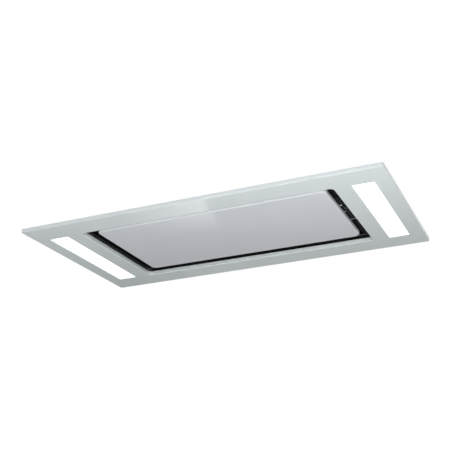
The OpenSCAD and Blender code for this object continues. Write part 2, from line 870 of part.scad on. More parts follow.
// Hinge brackets under the base pan
module hinge_brackets() {
    ear_x = hinge_knuckle_w / 2 + seat_gap;
    rise = pan_z - hinge_z;
    color("silver") at_hinges() difference() {
        union() {
            for (ear = [-1, 1]) translate([ear * (ear_x + hinge_t / 2) - hinge_t / 2, 0, 0]) {
                rotate([0, 90, 0]) cylinder(h = hinge_t, r = hinge_ear_r);
                translate([0, -hinge_ear_r, 0]) cube([hinge_t, 2 * hinge_ear_r, rise]);
            }
            translate([-hinge_foot_w / 2, -hinge_foot_d / 2, rise - hinge_t])
                cube([hinge_foot_w, hinge_foot_d, hinge_t]);
        }
        translate([-hinge_foot_w / 2, 0, 0]) rotate([0, 90, 0])
            cylinder(h = hinge_foot_w, r = hinge_pin_r + run_gap);
        for (end = [-1, 1]) translate([end * (hinge_foot_w / 2 - screw_head_r - hinge_t), 0, 0])
            cylinder(h = rise + overrun, r = screw_hole_r);
    }
}

module hinge_pins() {
    pin_len = hinge_knuckle_w + 2 * (seat_gap + hinge_t + run_gap);
    color("gray") at_hinges() rotate([0, 90, 0]) {
        translate([0, 0, -pin_len / 2]) cylinder(h = pin_len, r = hinge_pin_r);
        for (end = [-1, 1]) translate([0, 0, end * (pin_len + pin_head_h) / 2 - pin_head_h / 2])
            cylinder(h = pin_head_h, r = hinge_pin_r + pin_head_h);
    }
}

module hinge_leaves() {
    color("silver") at_hinges() difference() {
        union() {
            translate([-hinge_knuckle_w / 2, 0, 0]) rotate([0, 90, 0])
                cylinder(h = hinge_knuckle_w, r = hinge_barrel_r);
            translate([-hinge_knuckle_w / 2, -hinge_barrel_r, -hinge_rise])
                cube([hinge_knuckle_w, 2 * hinge_t, hinge_rise]);
            translate([-leaf_foot_w / 2, -hinge_barrel_r - leaf_foot_d + 2 * hinge_t, -hinge_rise])
                cube([leaf_foot_w, leaf_foot_d, hinge_t]);
        }
        translate([-leaf_foot_w / 2, 0, 0]) rotate([0, 90, 0])
            cylinder(h = leaf_foot_w, r = hinge_pin_r + run_gap);
    }
}

module catch_magnets() {
    color("dimgray") for (side = [-1, 1])
        translate([side * catch_x - catch_w / 2, catch_y - catch_d / 2, pan_z - magnet_h])
            cube([catch_w, catch_d, magnet_h]);
}

// Bent steel strips that the magnets hold, riveted to the panel
module strike_plates() {
    rise = strike_top - panel_top;
    flat = strike_w / 2;
    color("silver") for (side = [-1, 1])
        translate([side * catch_x, catch_y + strike_d / 2, panel_top])
            rotate([90, 0, 0]) linear_extrude(strike_d) {
                for (way = [0, 1]) mirror([way, 0]) {
                    translate([flat / 2, 0]) square([strike_w / 2, hinge_t]);
                    translate([flat / 2, 0]) square([hinge_t, rise]);
                }
                translate([-flat / 2 - hinge_t, rise - hinge_t])
                    square([flat + 2 * hinge_t, hinge_t]);
            }
}

module panel_skin() {
    color("white") translate([0, 0, panel_recess])
        folded_tray(panel_w, panel_d, panel_h, panel_t, panel_corner_r, panel_edge_r);
}

// Back tray that closes and stiffens the panel
module panel_tray() {
    side = panel_t + hole_gap;
    tray_h = panel_h - panel_edge_r;
    color("gainsboro") translate([0, 0, panel_top]) mirror([0, 0, 1])
        folded_tray(panel_w - 2 * side, panel_d - 2 * side, tray_h, panel_t,
            panel_corner_r - side, panel_edge_r);
}

// Housing walls, one sheet wrapped round and closed at a corner
module housing_shell() {
    color("silver") difference() {
        translate([0, 0, housing_z]) linear_extrude(top_z - housing_z) difference() {
            round_rect(housing_w, housing_d, housing_corner_r);
            round_rect(housing_w - 2 * housing_t, housing_d - 2 * housing_t, housing_corner_r - housing_t);
        }
        at_pan_screws() screw_hole();
        translate([housing_w / 2 - 2 * housing_t, gland_y, gland_z]) rotate([0, 90, 0])
            cylinder(h = 3 * housing_t, r = gland_r + hole_gap);
    }
}

// Angle frames inside the walls: the magnets hold to the lower one and the top plate is
// screwed to the upper one
module housing_frames() {
    frame_w = housing_w - 2 * housing_t;
    frame_d = housing_d - 2 * housing_t;
    frame_corner_r = housing_corner_r - housing_t;
    module angle_frame(flange) {
        linear_extrude(frame_t) difference() {
            round_rect(frame_w, frame_d, frame_corner_r);
            square([frame_w - 2 * flange, frame_d - 2 * flange], center = true);
        }
        linear_extrude(frame_leg) difference() {
            round_rect(frame_w, frame_d, frame_corner_r);
            square([frame_w - 2 * frame_t, frame_d - 2 * frame_t], center = true);
        }
    }
    color("silver") difference() {
        union() {
            translate([0, 0, housing_z]) angle_frame(housing_flange);
            translate([0, 0, top_z]) mirror([0, 0, 1]) angle_frame(top_flange);
        }
        at_top_screws() screw_hole();
    }
}

// Top plate with the outlet and four pressed stiffening beads
module top_plate() {
    bead_len = bead_len_share * housing_d;
    color("silver") difference() {
        union() {
            translate([0, 0, top_z]) linear_extrude(top_t)
                round_rect(housing_w, housing_d, housing_corner_r);
            for (side = [-1, 1], row = [1, 2])
                translate([side * (housing_w / 4 + (row - 1) * bead_pitch), 0, plate_top])
                    linear_extrude(bead_h) round_rect(bead_w, bead_len, bead_r);
        }
        translate([-scroll_w / 2, blower_y + outlet_u0, top_z - overrun])
            cube([scroll_w, outlet_u1 - outlet_u0, top_t + 2 * overrun]);
        at_top_screws() screw_hole();
        at_hanger_screws() screw_hole();
        at_collar_screws() screw_hole();
    }
}

// Hat-shaped brackets that the ceiling's threaded rods pass through
module hanger_brackets() {
    color("gray") difference() {
        at_corners()
            translate([housing_w / 2 - hanger_inset, housing_d / 2 - hanger_inset - hanger_w, plate_top])
                difference() {
                    union() {
                        translate([-hanger_foot, 0, 0]) cube([hanger_foot, hanger_w, hanger_t]);
                        translate([-hanger_foot, 0, 0]) cube([hanger_t, hanger_w, hanger_h]);
                        translate([-2 * hanger_foot, 0, hanger_h - hanger_t])
                            cube([hanger_foot + hanger_t, hanger_w, hanger_t]);
                    }
                    translate([-1.5 * hanger_foot, hanger_w / 2, hanger_h / 2])
                        cylinder(h = hanger_h, r = hanger_hole_r);
                }
        at_hanger_screws() screw_hole();
    }
}

// The same pan-head screw holds every sheet-metal joint
module sheet_screws() {
    color("gray") {
        at_top_screws() screw(top_t + frame_t + screw_tail);
        at_pan_screws() screw(housing_t + pan_t + screw_tail);
        at_hanger_screws() screw(hanger_t + top_t + screw_tail);
        at_collar_screws() screw(collar_flange_t + top_t + scroll_flange_t + screw_tail);
        at_hinge_screws() screw(hinge_t + pan_t + screw_tail);
        at_driver_screws() screw(box_t + pan_t + screw_tail);
        at_motor_bolts() screw(bolt_len);
    }
}

// Area inside the scroll, or outside it by the offset, in the scroll's own plane.
// The radius grows by one step at each quarter turn.
module scroll_area(out) {
    half = scroll_step / 2;
    module quarter(cx, cy, sx, sy, radius) {
        translate([cx, cy]) intersection() {
            circle(radius + out);
            translate([sx < 0 ? -radius - out : 0, sy < 0 ? -radius - out : 0])
                square(radius + out);
        }
    }
    quarter(-half, half, 1, 1, scroll_base);
    quarter(-half, -half, -1, 1, scroll_base + scroll_step);
    quarter(half, -half, -1, -1, scroll_base + 2 * scroll_step);
    quarter(half, half, 1, -1, scroll_base + 3 * scroll_step);
    square(scroll_step, center = true);
    translate([outlet_u0 - out, half]) square([outlet_u1 - outlet_u0 + 2 * out, outlet_v - half]);
}

// Stands the scroll's plane up, with its axis along X
module in_scroll(x) {
    translate([x, blower_y, blower_z]) rotate([90, 0, 90]) children();
}

module scroll_wrap() {
    color("silver") in_scroll(-scroll_w / 2) linear_extrude(scroll_w) {
        difference() {
            scroll_area(scroll_t);
            scroll_area(0);
            translate([outlet_u0, 0]) square([outlet_u1 - outlet_u0, outlet_v + overrun]);
        }
        // Rolled edge of the cut-off
        translate([outlet_u0, scroll_step / 2 + scroll_base * sin(cutoff_angle)]) circle(cutoff_r);
    }
}

// Side sheet with the bell-mouthed inlet
module scroll_side(side) {
    mouth_r = inlet_r + bell_r;
    color("silver") in_scroll(0) mirror([0, 0, side < 0 ? 1 : 0]) {
        translate([0, 0, scroll_w / 2]) linear_extrude(scroll_t) difference() {
            scroll_area(scroll_rim);
            circle(mouth_r - scroll_t);
            if (side < 0) at_arms() circle(screw_hole_r);
        }
        translate([0, 0, scroll_face]) rotate_extrude() intersection() {
            translate([mouth_r, -bell_r]) difference() {
                circle(bell_r);
                circle(bell_r - scroll_t);
            }
            translate([inlet_r, -bell_r]) square([bell_r, bell_r]);
        }
    }
}

// Plate on the scroll's mouth, as large as the flange of the collar above it
module scroll_flange() {
    outlet_d = outlet_u1 - outlet_u0;
    color("silver") difference() {
        translate([0, duct_y, top_z - scroll_flange_t]) linear_extrude(scroll_flange_t) difference() {
            square(collar_side, center = true);
            square([scroll_w, outlet_d], center = true);
        }
        at_collar_screws() screw_hole();
    }
}

// Outline of one forward-curved blade
function blade_point(k, edge) =
    let (share = k / blade_steps, radius = wheel_r - blade_depth + share * (blade_depth - blade_t / 2))
    let (angle = blade_lean * share * share - edge * blade_t / radius * 180 / PI)
    [radius * cos(angle), radius * sin(angle)];

module blower_wheel() {
    blade = concat([for (k = [0 : blade_steps]) blade_point(k, 0)],
        [for (k = [blade_steps : -1 : 0]) blade_point(k, 1)]);
    color("dimgray") in_scroll(0) difference() {
        union() {
            translate([0, 0, -wheel_w / 2]) linear_extrude(wheel_w)
                for (i = [0 : blade_count - 1]) rotate(i * 360 / blade_count) polygon(blade);
            translate([0, 0, -wheel_disc_t / 2]) linear_extrude(wheel_disc_t) difference() {
                circle(wheel_r - blade_t);
                for (i = [0 : disc_holes - 1]) rotate(i * 360 / disc_holes)
                    translate([disc_hole_at, 0]) circle(disc_hole_r);
            }
            for (end = [-1, 1]) translate([0, 0, end * (wheel_w - ring_t) / 2 - ring_t / 2])
                linear_extrude(ring_t) difference() {
                    circle(wheel_r);
                    circle(wheel_r - ring_w);
                }
            translate([0, 0, -hub_back]) cylinder(h = hub_len, r = hub_r);
        }
        translate([0, 0, -wheel_w / 2]) cylinder(h = wheel_w, r = shaft_r + run_gap);
    }
}

module motor_shaft() {
    shaft_len = motor_back + hub_len - hub_back + shaft_tail;
    color("silver") in_scroll(-motor_back + seat_gap) cylinder(h = shaft_len - seat_gap, r = shaft_r);
}

// Motor in the left-hand inlet, with vents round its shell and a bore for the shaft
module motor() {
    color("gray") in_scroll(-motor_back) difference() {
        rotate_extrude() {
            difference() {
                union() {
                    square([motor_r, motor_len - motor_boss_h - motor_round]);
                    square([motor_r - motor_round, motor_len - motor_boss_h]);
                    translate([motor_r - motor_round, motor_len - motor_boss_h - motor_round])
                        circle(motor_round);
                    square([motor_boss_r, motor_len]);
                }
                square([bearing_r, bearing_t]);
                translate([0, motor_len - bearing_t]) square([bearing_r, bearing_t + overrun]);
                square([shaft_r + run_gap, motor_len + overrun]);
            }
        }
        for (i = [0 : motor_vents - 1]) rotate([0, 0, i * 360 / motor_vents])
            translate([motor_r - motor_vent_w / 2, -motor_vent_w / 2, motor_len / 4])
                cube([motor_vent_w, motor_vent_w, motor_len / 2]);
    }
}

module motor_bearings() {
    color("lightgray") for (x = [-motor_back, -motor_front - bearing_t]) in_scroll(x)
        difference() {
            cylinder(h = bearing_t, r = bearing_r);
            translate([0, 0, -overrun]) cylinder(h = bearing_t + 2 * overrun, r = shaft_r + run_gap);
        }
}

module at_arms() {
    for (i = [0 : arm_count - 1]) rotate([0, 0, 90 + i * 360 / arm_count])
        translate([arm_at, 0, 0]) children();
}

// Spider that carries the motor from the left-hand inlet
module motor_bracket() {
    leg = motor_out - grommet_t;
    color("silver") in_scroll(-motor_back - bracket_t) difference() {
        union() {
            cylinder(h = bracket_t, r = bracket_disc_r);
            for (i = [0 : arm_count - 1]) rotate([0, 0, 90 + i * 360 / arm_count])
                translate([0, -arm_w / 2, 0]) cube([arm_at + arm_w / 2, arm_w, bracket_t]);
            at_arms() cylinder(h = bracket_t + leg, r = arm_w / 2);
        }
        at_arms() translate([0, 0, -overrun])
            cylinder(h = bracket_t + leg + 2 * overrun, r = screw_hole_r);
    }
}

module motor_grommets() {
    color("black") in_scroll(-scroll_face - grommet_t) at_arms() difference() {
        cylinder(h = grommet_t, r = grommet_r);
        translate([0, 0, -overrun]) cylinder(h = grommet_t + 2 * overrun, r = screw_hole_r);
    }
}

module run_capacitor() {
    color("whitesmoke") in_scroll(scroll_face) translate([capacitor_u, capacitor_v, 0]) {
        cylinder(h = capacitor_len, r = capacitor_r);
        for (side = [-1, 1]) translate([side * capacitor_r / 3, 0, capacitor_len])
            linear_extrude(screw_tail) square([hinge_t / 2, screw_tail], center = true);
    }
}

// Clip round the capacitor, with a foot on the scroll's side
module capacitor_clip() {
    ring_r = capacitor_r + run_gap;
    color("silver") in_scroll(scroll_face) translate([capacitor_u, capacitor_v, 0]) difference() {
        union() {
            cylinder(h = clip_w, r = ring_r + clip_t);
            cylinder(h = clip_t, r = ring_r + screw_tail);
        }
        translate([0, 0, -overrun]) cylinder(h = clip_w + 2 * overrun, r = ring_r);
    }
}

// Spigot on a square flange, with the ring that the flaps close on
module duct_collar() {
    color("silver") translate([0, duct_y, plate_top]) difference() {
        union() {
            linear_extrude(collar_flange_t) round_rect(collar_side, collar_side, collar_flange / 2);
            cylinder(h = collar_flange_t + collar_h, r = duct_r);
        }
        translate([0, 0, collar_flange_t + stop_ring_t]) cylinder(h = collar_h, r = duct_r - collar_t);
        translate([0, 0, -overrun])
            cylinder(h = collar_h, r = duct_r - collar_t - stop_ring_w);
        translate([-duct_r - overrun, 0, flap_pin_z - plate_top]) rotate([0, 90, 0])
            cylinder(h = duct_d + 2 * overrun, r = flap_pin_r + run_gap);
        translate([0, -duct_y, -plate_top]) at_collar_screws() screw_hole();
    }
}

module flap_pin() {
    color("gray") translate([-duct_r, duct_y, flap_pin_z]) rotate([0, 90, 0])
        cylinder(h = duct_d, r = flap_pin_r);
}

// One half of the butterfly. Its knuckles sit beside those of the other half.
module flap(way) {
    knuckle = flap_knuckle_w;
    first = way * knuckle / 2;
    color("whitesmoke") translate([0, duct_y, flap_z]) difference() {
        union() {
            linear_extrude(flap_t) intersection() {
                circle(flap_r);
                translate([-flap_r, way > 0 ? flap_split : -flap_r])
                    square([2 * flap_r, flap_r - flap_split]);
            }
            for (end = [-1, 1]) translate([end * flap_knuckle_x + first, 0, 0]) {
                translate([-knuckle / 2 + run_gap, 0, flap_knuckle_r]) rotate([0, 90, 0])
                    cylinder(h = knuckle - 2 * run_gap, r = flap_knuckle_r);
                translate([-knuckle / 2 + run_gap, way > 0 ? 0 : -flap_knuckle_r, 0])
                    cube([knuckle - 2 * run_gap, flap_knuckle_r, flap_t]);
            }
        }
        // Room for the other half's knuckles and the bore for the pin
        for (end = [-1, 1]) translate([end * flap_knuckle_x - first, 0, flap_knuckle_r])
            rotate([0, 90, 0]) cylinder(h = knuckle, r = flap_knuckle_r + seat_gap, center = true);
        translate([-duct_r, 0, flap_knuckle_r]) rotate([0, 90, 0])
            cylinder(h = duct_d, r = flap_pin_r + run_gap);
    }
}

module electronics_box() {
    color("whitesmoke") difference() {
        translate([box_x, 0, pan_top]) difference() {
            linear_extrude(box_h) round_rect(box_w, box_d, box_corner_r);
            translate([0, 0, box_t]) linear_extrude(box_h)
                round_rect(box_w - 2 * box_t, box_d - 2 * box_t, box_corner_r - box_t);
        }
        translate([box_x1 - 2 * box_t, gland_y, gland_z]) rotate([0, 90, 0])
            cylinder(h = 3 * box_t, r = gland_r + hole_gap);
    }
}

module electronics_cover() {
    color("gainsboro") translate([box_x, 0, pan_top + box_h]) {
        linear_extrude(cover_t) round_rect(box_w, box_d, box_corner_r);
        translate([0, 0, -cover_t]) linear_extrude(cover_t) difference() {
            square([box_w - 4 * box_t, box_d - 4 * box_t], center = true);
            square([box_w - 6 * box_t, box_d - 6 * box_t], center = true);
        }
    }
}

// Main board on four pillars, with its relays and a transformer
module main_board() {
    floor_z = pan_top + box_t;
    board_x = box_w - 2 * (box_t + board_side);
    board_y = box_d - 2 * (box_t + board_side);
    translate([box_x, 0, floor_z]) {
        color("darkgreen") translate([0, 0, board_rise]) linear_extrude(board_t)
            square([board_x, board_y], center = true);
        color("white") for (sx = [-1, 1], sy = [-1, 1])
            translate([sx * (board_x / 2 - board_side), sy * (board_y / 2 - board_side), 0])
                cylinder(h = board_rise, r = board_side * 2 / 3);
        color("royalblue") for (i = [0 : 2])
            translate([-board_x / 3, (i - 1) * board_y / 5 + board_y / 8, board_rise + board_t])
                cube([board_x / 5, board_y / 7, box_h / 4]);
        color("gold") translate([-board_x / 3, -board_y / 2 + board_side, board_rise + board_t])
            cube([board_x / 3, board_y / 5, box_h / 3]);
    }
}

module terminal_block() {
    way = terminal_d / terminal_ways;
    color("ivory") translate([box_x + box_w / 8, -terminal_d / 2 + box_d / 5,
        pan_top + box_t + board_rise + board_t]) difference() {
        cube([terminal_w, terminal_d, terminal_h]);
        for (i = [0 : terminal_ways - 1]) translate([terminal_w / 2, (i + 0.5) * way, terminal_h / 2])
            cylinder(h = terminal_h, r = way / 4);
    }
}

// Cable gland through the housing wall, with its lock nut inside the box
module cable_gland() {
    wall = housing_w / 2;
    inner = box_x1 - box_t;
    color("dimgray") translate([0, gland_y, gland_z]) rotate([0, 90, 0]) difference() {
        union() {
            translate([0, 0, inner - gland_in]) cylinder(h = wall - inner + gland_in, r = gland_r);
            translate([0, 0, inner - gland_hex_t]) cylinder(h = gland_hex_t, r = gland_hex_r, $fn = 6);
            translate([0, 0, wall]) cylinder(h = gland_hex_t, r = gland_hex_r, $fn = 6);
            translate([0, 0, wall]) cylinder(h = gland_out, r = gland_dome_r);
        }
        translate([0, 0, inner - gland_in - overrun])
            cylinder(h = wall - inner + gland_in + gland_out + 2 * overrun, r = gland_bore_r);
    }
}

fascia();
ceiling_gasket();
fascia_magnets();
liner();
drip_rail();
base_pan();
light_box(-1);  // light_box_left
light_box(1);  // light_box_right
light_box_nuts();
led_boards();
diffuser(-1);  // diffuser_left
diffuser(1);  // diffuser_right
led_driver();
control_shelf();
control_plate();
control_seam_strip();
receiver_window();
status_lens();
control_housing();
control_board();
filter_frame(-1);  // filter_frame_left
filter_frame(1);  // filter_frame_right
filter_mesh(-1);  // filter_mesh_left
filter_mesh(1);  // filter_mesh_right
hinge_brackets();
hinge_pins();
catch_magnets();
housing_shell();
housing_frames();
top_plate();
hanger_brackets();
sheet_screws();
scroll_wrap();
scroll_side(-1);  // scroll_side_left
scroll_side(1);  // scroll_side_right
scroll_flange();
motor();
motor_bearings();
motor_bracket();
motor_grommets();
run_capacitor();
capacitor_clip();
duct_collar();
flap_pin();
electronics_box();
electronics_cover();
main_board();
terminal_block();
cable_gland();
panel_skin();
panel_tray();
hinge_leaves();
strike_plates();
push_button();
filter_latch(-1);  // filter_latch_left
filter_latch(1);  // filter_latch_right
blower_wheel();
motor_shaft();
flap(-1);  // flap_near
flap(1);  // flap_far
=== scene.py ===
import json
import math
import bmesh
import bpy
from mathutils import Matrix, Vector


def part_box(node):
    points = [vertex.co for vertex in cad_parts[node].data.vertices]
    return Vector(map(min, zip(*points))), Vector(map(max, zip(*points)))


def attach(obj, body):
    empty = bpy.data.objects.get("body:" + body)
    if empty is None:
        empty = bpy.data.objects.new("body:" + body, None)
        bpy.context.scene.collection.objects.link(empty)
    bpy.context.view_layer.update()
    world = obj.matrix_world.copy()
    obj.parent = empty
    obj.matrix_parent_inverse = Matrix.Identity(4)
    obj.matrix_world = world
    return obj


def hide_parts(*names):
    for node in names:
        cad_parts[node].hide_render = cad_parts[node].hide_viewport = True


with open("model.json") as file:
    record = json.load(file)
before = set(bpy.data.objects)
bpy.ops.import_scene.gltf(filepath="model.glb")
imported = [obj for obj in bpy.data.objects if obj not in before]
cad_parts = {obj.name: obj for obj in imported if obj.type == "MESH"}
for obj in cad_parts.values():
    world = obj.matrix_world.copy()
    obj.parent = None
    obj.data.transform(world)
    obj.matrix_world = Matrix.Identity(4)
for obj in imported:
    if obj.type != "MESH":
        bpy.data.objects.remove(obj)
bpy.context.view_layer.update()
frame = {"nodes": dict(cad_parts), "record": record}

bl_info = {
    "name": "Ceiling range hood finish",
    "version": (1, 0, 0),
    "blender": (4, 5, 0),
    "location": "3D View > Sidebar > Range hood",
    "description": "Finishes, small fittings and a studio for the ceiling range hood",
    "category": "Object",
}

MM = 0.001
HOOD_NODES = frame["nodes"]

# Liner: the height of its foot, the fade above it, and shares of its colour, where the lighter foot
# of the short walls is painted light
LINER_FOOT = 17 * MM
LINER_FOOT_FADE = 4 * MM
PAINTED_LIGHT_FOOT_SHARE = 1.5
LONG_FOOT_SHARE = 0.12
UPPER_LINER_SHARE = 0.12

# Filter weave: heights of the layers as shares of the filter mesh, thickness and tip of a
# strand, and how near its corners are welded
WEAVE_LAYERS = (0.06, 0.45, 0.84)
STRAND_THICKNESS = 0.5 * MM
STRAND_TIP = 0.6 * MM
WELD_REACH = 0.01 * MM

# Rivets: insets and rises of the head's rings as shares of its radius
RIVET_SIDES = 20
RIVET_RINGS = ((0.22, 0.16), (0.25, 0.10), (0.20, 0.03), (0.02, -0.12))
PANEL_RIVET_SHARE = 0.7

# Housing seams: thickness of the strip, how far it sinks into the wall, its distance from the
# corner, its rounded edge, and its gaps at the foot and the head
SEAM_SHEET = 1.0 * MM
SEAM_SINK = 0.1 * MM
SEAM_FROM_CORNER = 6 * MM
SEAM_EDGE = 0.35 * MM
SEAM_FOOT_GAP = 2 * MM
SEAM_HEAD_GAP = 1 * MM

# Panel fittings: hinges and catches stand this far left and right of the middle
FITTING_X = 200 * MM
STRIKE_RIVET_STEP = 13.5 * MM
LEAF_RIVET_STEP = 10.5 * MM
LEAF_RIVET_EDGE = 4.5 * MM
PLATE_THICKNESS = 1.5 * MM
BUFFER_INSET_X = 30 * MM
BUFFER_INSET_Y = 22 * MM
BUFFER_RADIUS = 5 * MM
BUFFER_HEIGHT = 2 * MM
BUFFER_RINGS = ((1.2 * MM, 0.6 * MM), (1.5 * MM, 0.3 * MM))

# Spigot bead: radius of the roll, and its middle from the spigot's outside and mouth
BEAD_RADIUS = 0.9 * MM
BEAD_IN = 0.7 * MM
BEAD_DOWN = 0.8 * MM
BEAD_STEPS = 96

# Corners nearer than this are one corner in a finished piece
DOUBLE_REACH = 0.001 * MM

# Lamps: place, target and size
FRONT_LAMP = ((0.9, -1.7, -0.95), (0.0, -0.1, 0.0), (1.2, 1.2))
NEAR_LAMP = ((0.75, -0.9, -0.8), (0.1, -0.1, 0.0), (0.9, 0.8))
LEFT_LAMP = ((-0.3, -0.9, -0.7), (-0.2, -0.25, 0.0), (0.6, 0.5))
TOP_LAMP = ((-0.8, -1.0, 2.2), (0.0, 0.0, 0.2), (1.6, 1.6))

# Mirror cards: middle, size, and where their light fades along X and Y
CARD_LEVEL = -1.0
CARD_TURN = math.radians(11.5)
NEAR_CARD = ((-1.29, 1.70), (0.8, 1.3), (-1.42, -0.95, 2.36, 2.08))
FAR_CARD = ((-0.95, 3.00), (1.1, 0.7), (-0.45, -1.40, 2.70, 2.80))

# Floor, whose glow grows to white between two distances from its middle
FLOOR_LEVEL = -1.6
FLOOR_RADIUS = 9
FLOOR_GLOW_FROM = 2.5
FLOOR_GLOW_TO = 7.5

# Ceiling card: how far its hole reaches under the fascia, how far it spreads, how low it hangs
CEILING_INSET = 5 * MM
CEILING_REACH = 2.2
CEILING_DROP = 0.4 * MM


# Settings


class HoodFinishSettings(bpy.types.PropertyGroup):
    """Colours and surface values of the hood"""

    fascia_colour: bpy.props.FloatVectorProperty(
        name="Fascia colour", description="Enamel of the fascia", subtype="COLOR", size=3,
        min=0, max=1, default=(0.79, 0.85, 0.86))
    panel_colour: bpy.props.FloatVectorProperty(
        name="Panel colour", description="Enamel of the centre panel", subtype="COLOR", size=3,
        min=0, max=1, default=(0.77, 0.80, 0.84))
    enamel_roughness: bpy.props.FloatProperty(
        name="Enamel roughness", description="Roughness of the white enamel", subtype="FACTOR",
        min=0, max=1, default=0.028)
    dark_colour: bpy.props.FloatVectorProperty(
        name="Liner colour", description="Enamel inside the suction gap", subtype="COLOR", size=3,
        min=0, max=1, default=(0.055, 0.057, 0.060))
    sheet_colour: bpy.props.FloatVectorProperty(
        name="Galvanised colour", description="Zinc of the housing sheet", subtype="COLOR", size=3,
        min=0, max=1, default=(0.60, 0.62, 0.64))
    aluminium_colour: bpy.props.FloatVectorProperty(
        name="Filter colour", description="Aluminium of the grease filters", subtype="COLOR",
        size=3, min=0, max=1, default=(0.80, 0.81, 0.82))
    light_strength: bpy.props.FloatProperty(
        name="Light panel strength", description="Emission of the opal diffusers",
        min=0, max=10, default=1.15)
    edge_radius: bpy.props.FloatProperty(
        name="Edge radius", description="Radius of the soft edge shown on sheet metal",
        subtype="DISTANCE", unit="LENGTH", min=0, max=0.003, default=0.0006)


class HoodFittingSettings(bpy.types.PropertyGroup):
    """Sizes of the small fittings"""

    weave_pitch_x: bpy.props.FloatProperty(
        name="Weave pitch X", description="Pitch of the expanded mesh along X",
        subtype="DISTANCE", unit="LENGTH", min=0.005, max=0.03, default=0.0105)
    weave_pitch_y: bpy.props.FloatProperty(
        name="Weave pitch Y", description="Pitch of the expanded mesh along Y",
        subtype="DISTANCE", unit="LENGTH", min=0.003, max=0.02, default=0.0068)
    strand_width: bpy.props.FloatProperty(
        name="Strand width", description="Width of one strand of the mesh",
        subtype="DISTANCE", unit="LENGTH", min=0.0004, max=0.003, default=0.0010)
    rivet_radius: bpy.props.FloatProperty(
        name="Rivet radius", description="Radius of a blind rivet's head",
        subtype="DISTANCE", unit="LENGTH", min=0.001, max=0.006, default=0.0032)
    rivets_a_seam: bpy.props.IntProperty(
        name="Rivets a seam", description="Rivets up each corner seam of the housing",
        min=2, max=10, default=5)
    seam_width: bpy.props.FloatProperty(
        name="Seam width", description="Width of the housing's lapped corner seam",
        subtype="DISTANCE", unit="LENGTH", min=0.006, max=0.03, default=0.016)


class HoodStageSettings(bpy.types.PropertyGroup):
    """Camera, lamps and backdrop"""

    camera_place: bpy.props.FloatVectorProperty(
        name="Camera place", description="Where the photographer's camera stands",
        subtype="TRANSLATION", unit="LENGTH", size=3, default=(0.79084, -1.93097, -0.78757))
    camera_turn: bpy.props.FloatVectorProperty(
        name="Camera turn", description="Turn of the camera", subtype="EULER", unit="ROTATION",
        size=3, default=(1.945637, 0.017789, 0.401683))
    camera_lens: bpy.props.FloatProperty(
        name="Lens", description="Focal length on a 36 mm wide sensor, in millimetres",
        min=10, max=300, default=71.2988)
    front_power: bpy.props.FloatProperty(
        name="Front lamp", description="Power of the low lamp in front", unit="POWER",
        min=0, max=500, default=2.9)
    near_power: bpy.props.FloatProperty(
        name="Near lamp", description="Power of the lamp close to the near border", unit="POWER",
        min=0, max=500, default=10.3)
    left_power: bpy.props.FloatProperty(
        name="Left lamp", description="Power of the lamp below the near left corner", unit="POWER",
        min=0, max=500, default=2.0)
    top_power: bpy.props.FloatProperty(
        name="Top lamp", description="Power of the lamp above the ceiling line", unit="POWER",
        min=0, max=500, default=24)
    fill_strength: bpy.props.FloatProperty(
        name="Fill", description="Even light from all round", min=0, max=2, default=0.2)
    floor_strength: bpy.props.FloatProperty(
        name="Floor glow", description="How pale the floor looks over its own light",
        min=0, max=1, default=0.6)
    near_card_strength: bpy.props.FloatProperty(
        name="Near card", description="Brightness of the card mirrored in the near border",
        min=0, max=4, default=0.95)
    far_card_strength: bpy.props.FloatProperty(
        name="Far card", description="Brightness of the card mirrored in the far border",
        min=0, max=4, default=0.13)


# Shader helpers


def new_group(name, inputs, outputs):
    """An empty shader group with named sockets"""
    group = bpy.data.node_groups.new(name, "ShaderNodeTree")
    for label, kind, value in inputs:
        socket = group.interface.new_socket(label, in_out="INPUT", socket_type=kind)
        if value is not None:
            socket.default_value = value
    for label, kind in outputs:
        group.interface.new_socket(label, in_out="OUTPUT", socket_type=kind)
    return group, group.nodes.new("NodeGroupInput"), group.nodes.new("NodeGroupOutput")


def math_node(tree, operation, first, second=None, clamp=False):
    """A Math node fed by sockets or numbers"""
    node = tree.nodes.new("ShaderNodeMath")
    node.operation = operation
    node.use_clamp = clamp
    for index, value in enumerate((first, second)):
        if value is None:
            continue
        if isinstance(value, (int, float)):
            node.inputs[index].default_value = value
        else:
            tree.links.new(value, node.inputs[index])
    return node.outputs[0]


def range_node(tree, value, low, high, to_low, to_high):
    """A clamped Map Range node"""
    node = tree.nodes.new("ShaderNodeMapRange")
    tree.links.new(value, node.inputs["Value"])
    node.inputs["From Min"].default_value = low
    node.inputs["From Max"].default_value = high
    node.inputs["To Min"].default_value = to_low
    node.inputs["To Max"].default_value = to_high
    return node.outputs["Result"]


def noise_node(tree, vector, scale, detail=2.0, roughness=0.5):
    """A Noise texture's value on a vector"""
    node = tree.nodes.new("ShaderNodeTexNoise")
    tree.links.new(vector, node.inputs["Vector"])
    if isinstance(scale, (int, float)):
        node.inputs["Scale"].default_value = scale
    else:
        tree.links.new(scale, node.inputs["Scale"])
    node.inputs["Detail"].default_value = detail
    node.inputs["Roughness"].default_value = roughness
    return node.outputs["Fac"]


def object_coordinates(tree, stretch=(1, 1, 1), turn=(0, 0, 0)):
    """Object coordinates through a Mapping node"""
    coordinates = tree.nodes.new("ShaderNodeTexCoord")
    mapping = tree.nodes.new("ShaderNodeMapping")
    mapping.inputs["Scale"].default_value = stretch
    mapping.inputs["Rotation"].default_value = turn
    tree.links.new(coordinates.outputs["Object"], mapping.inputs["Vector"])
    return mapping.outputs["Vector"]


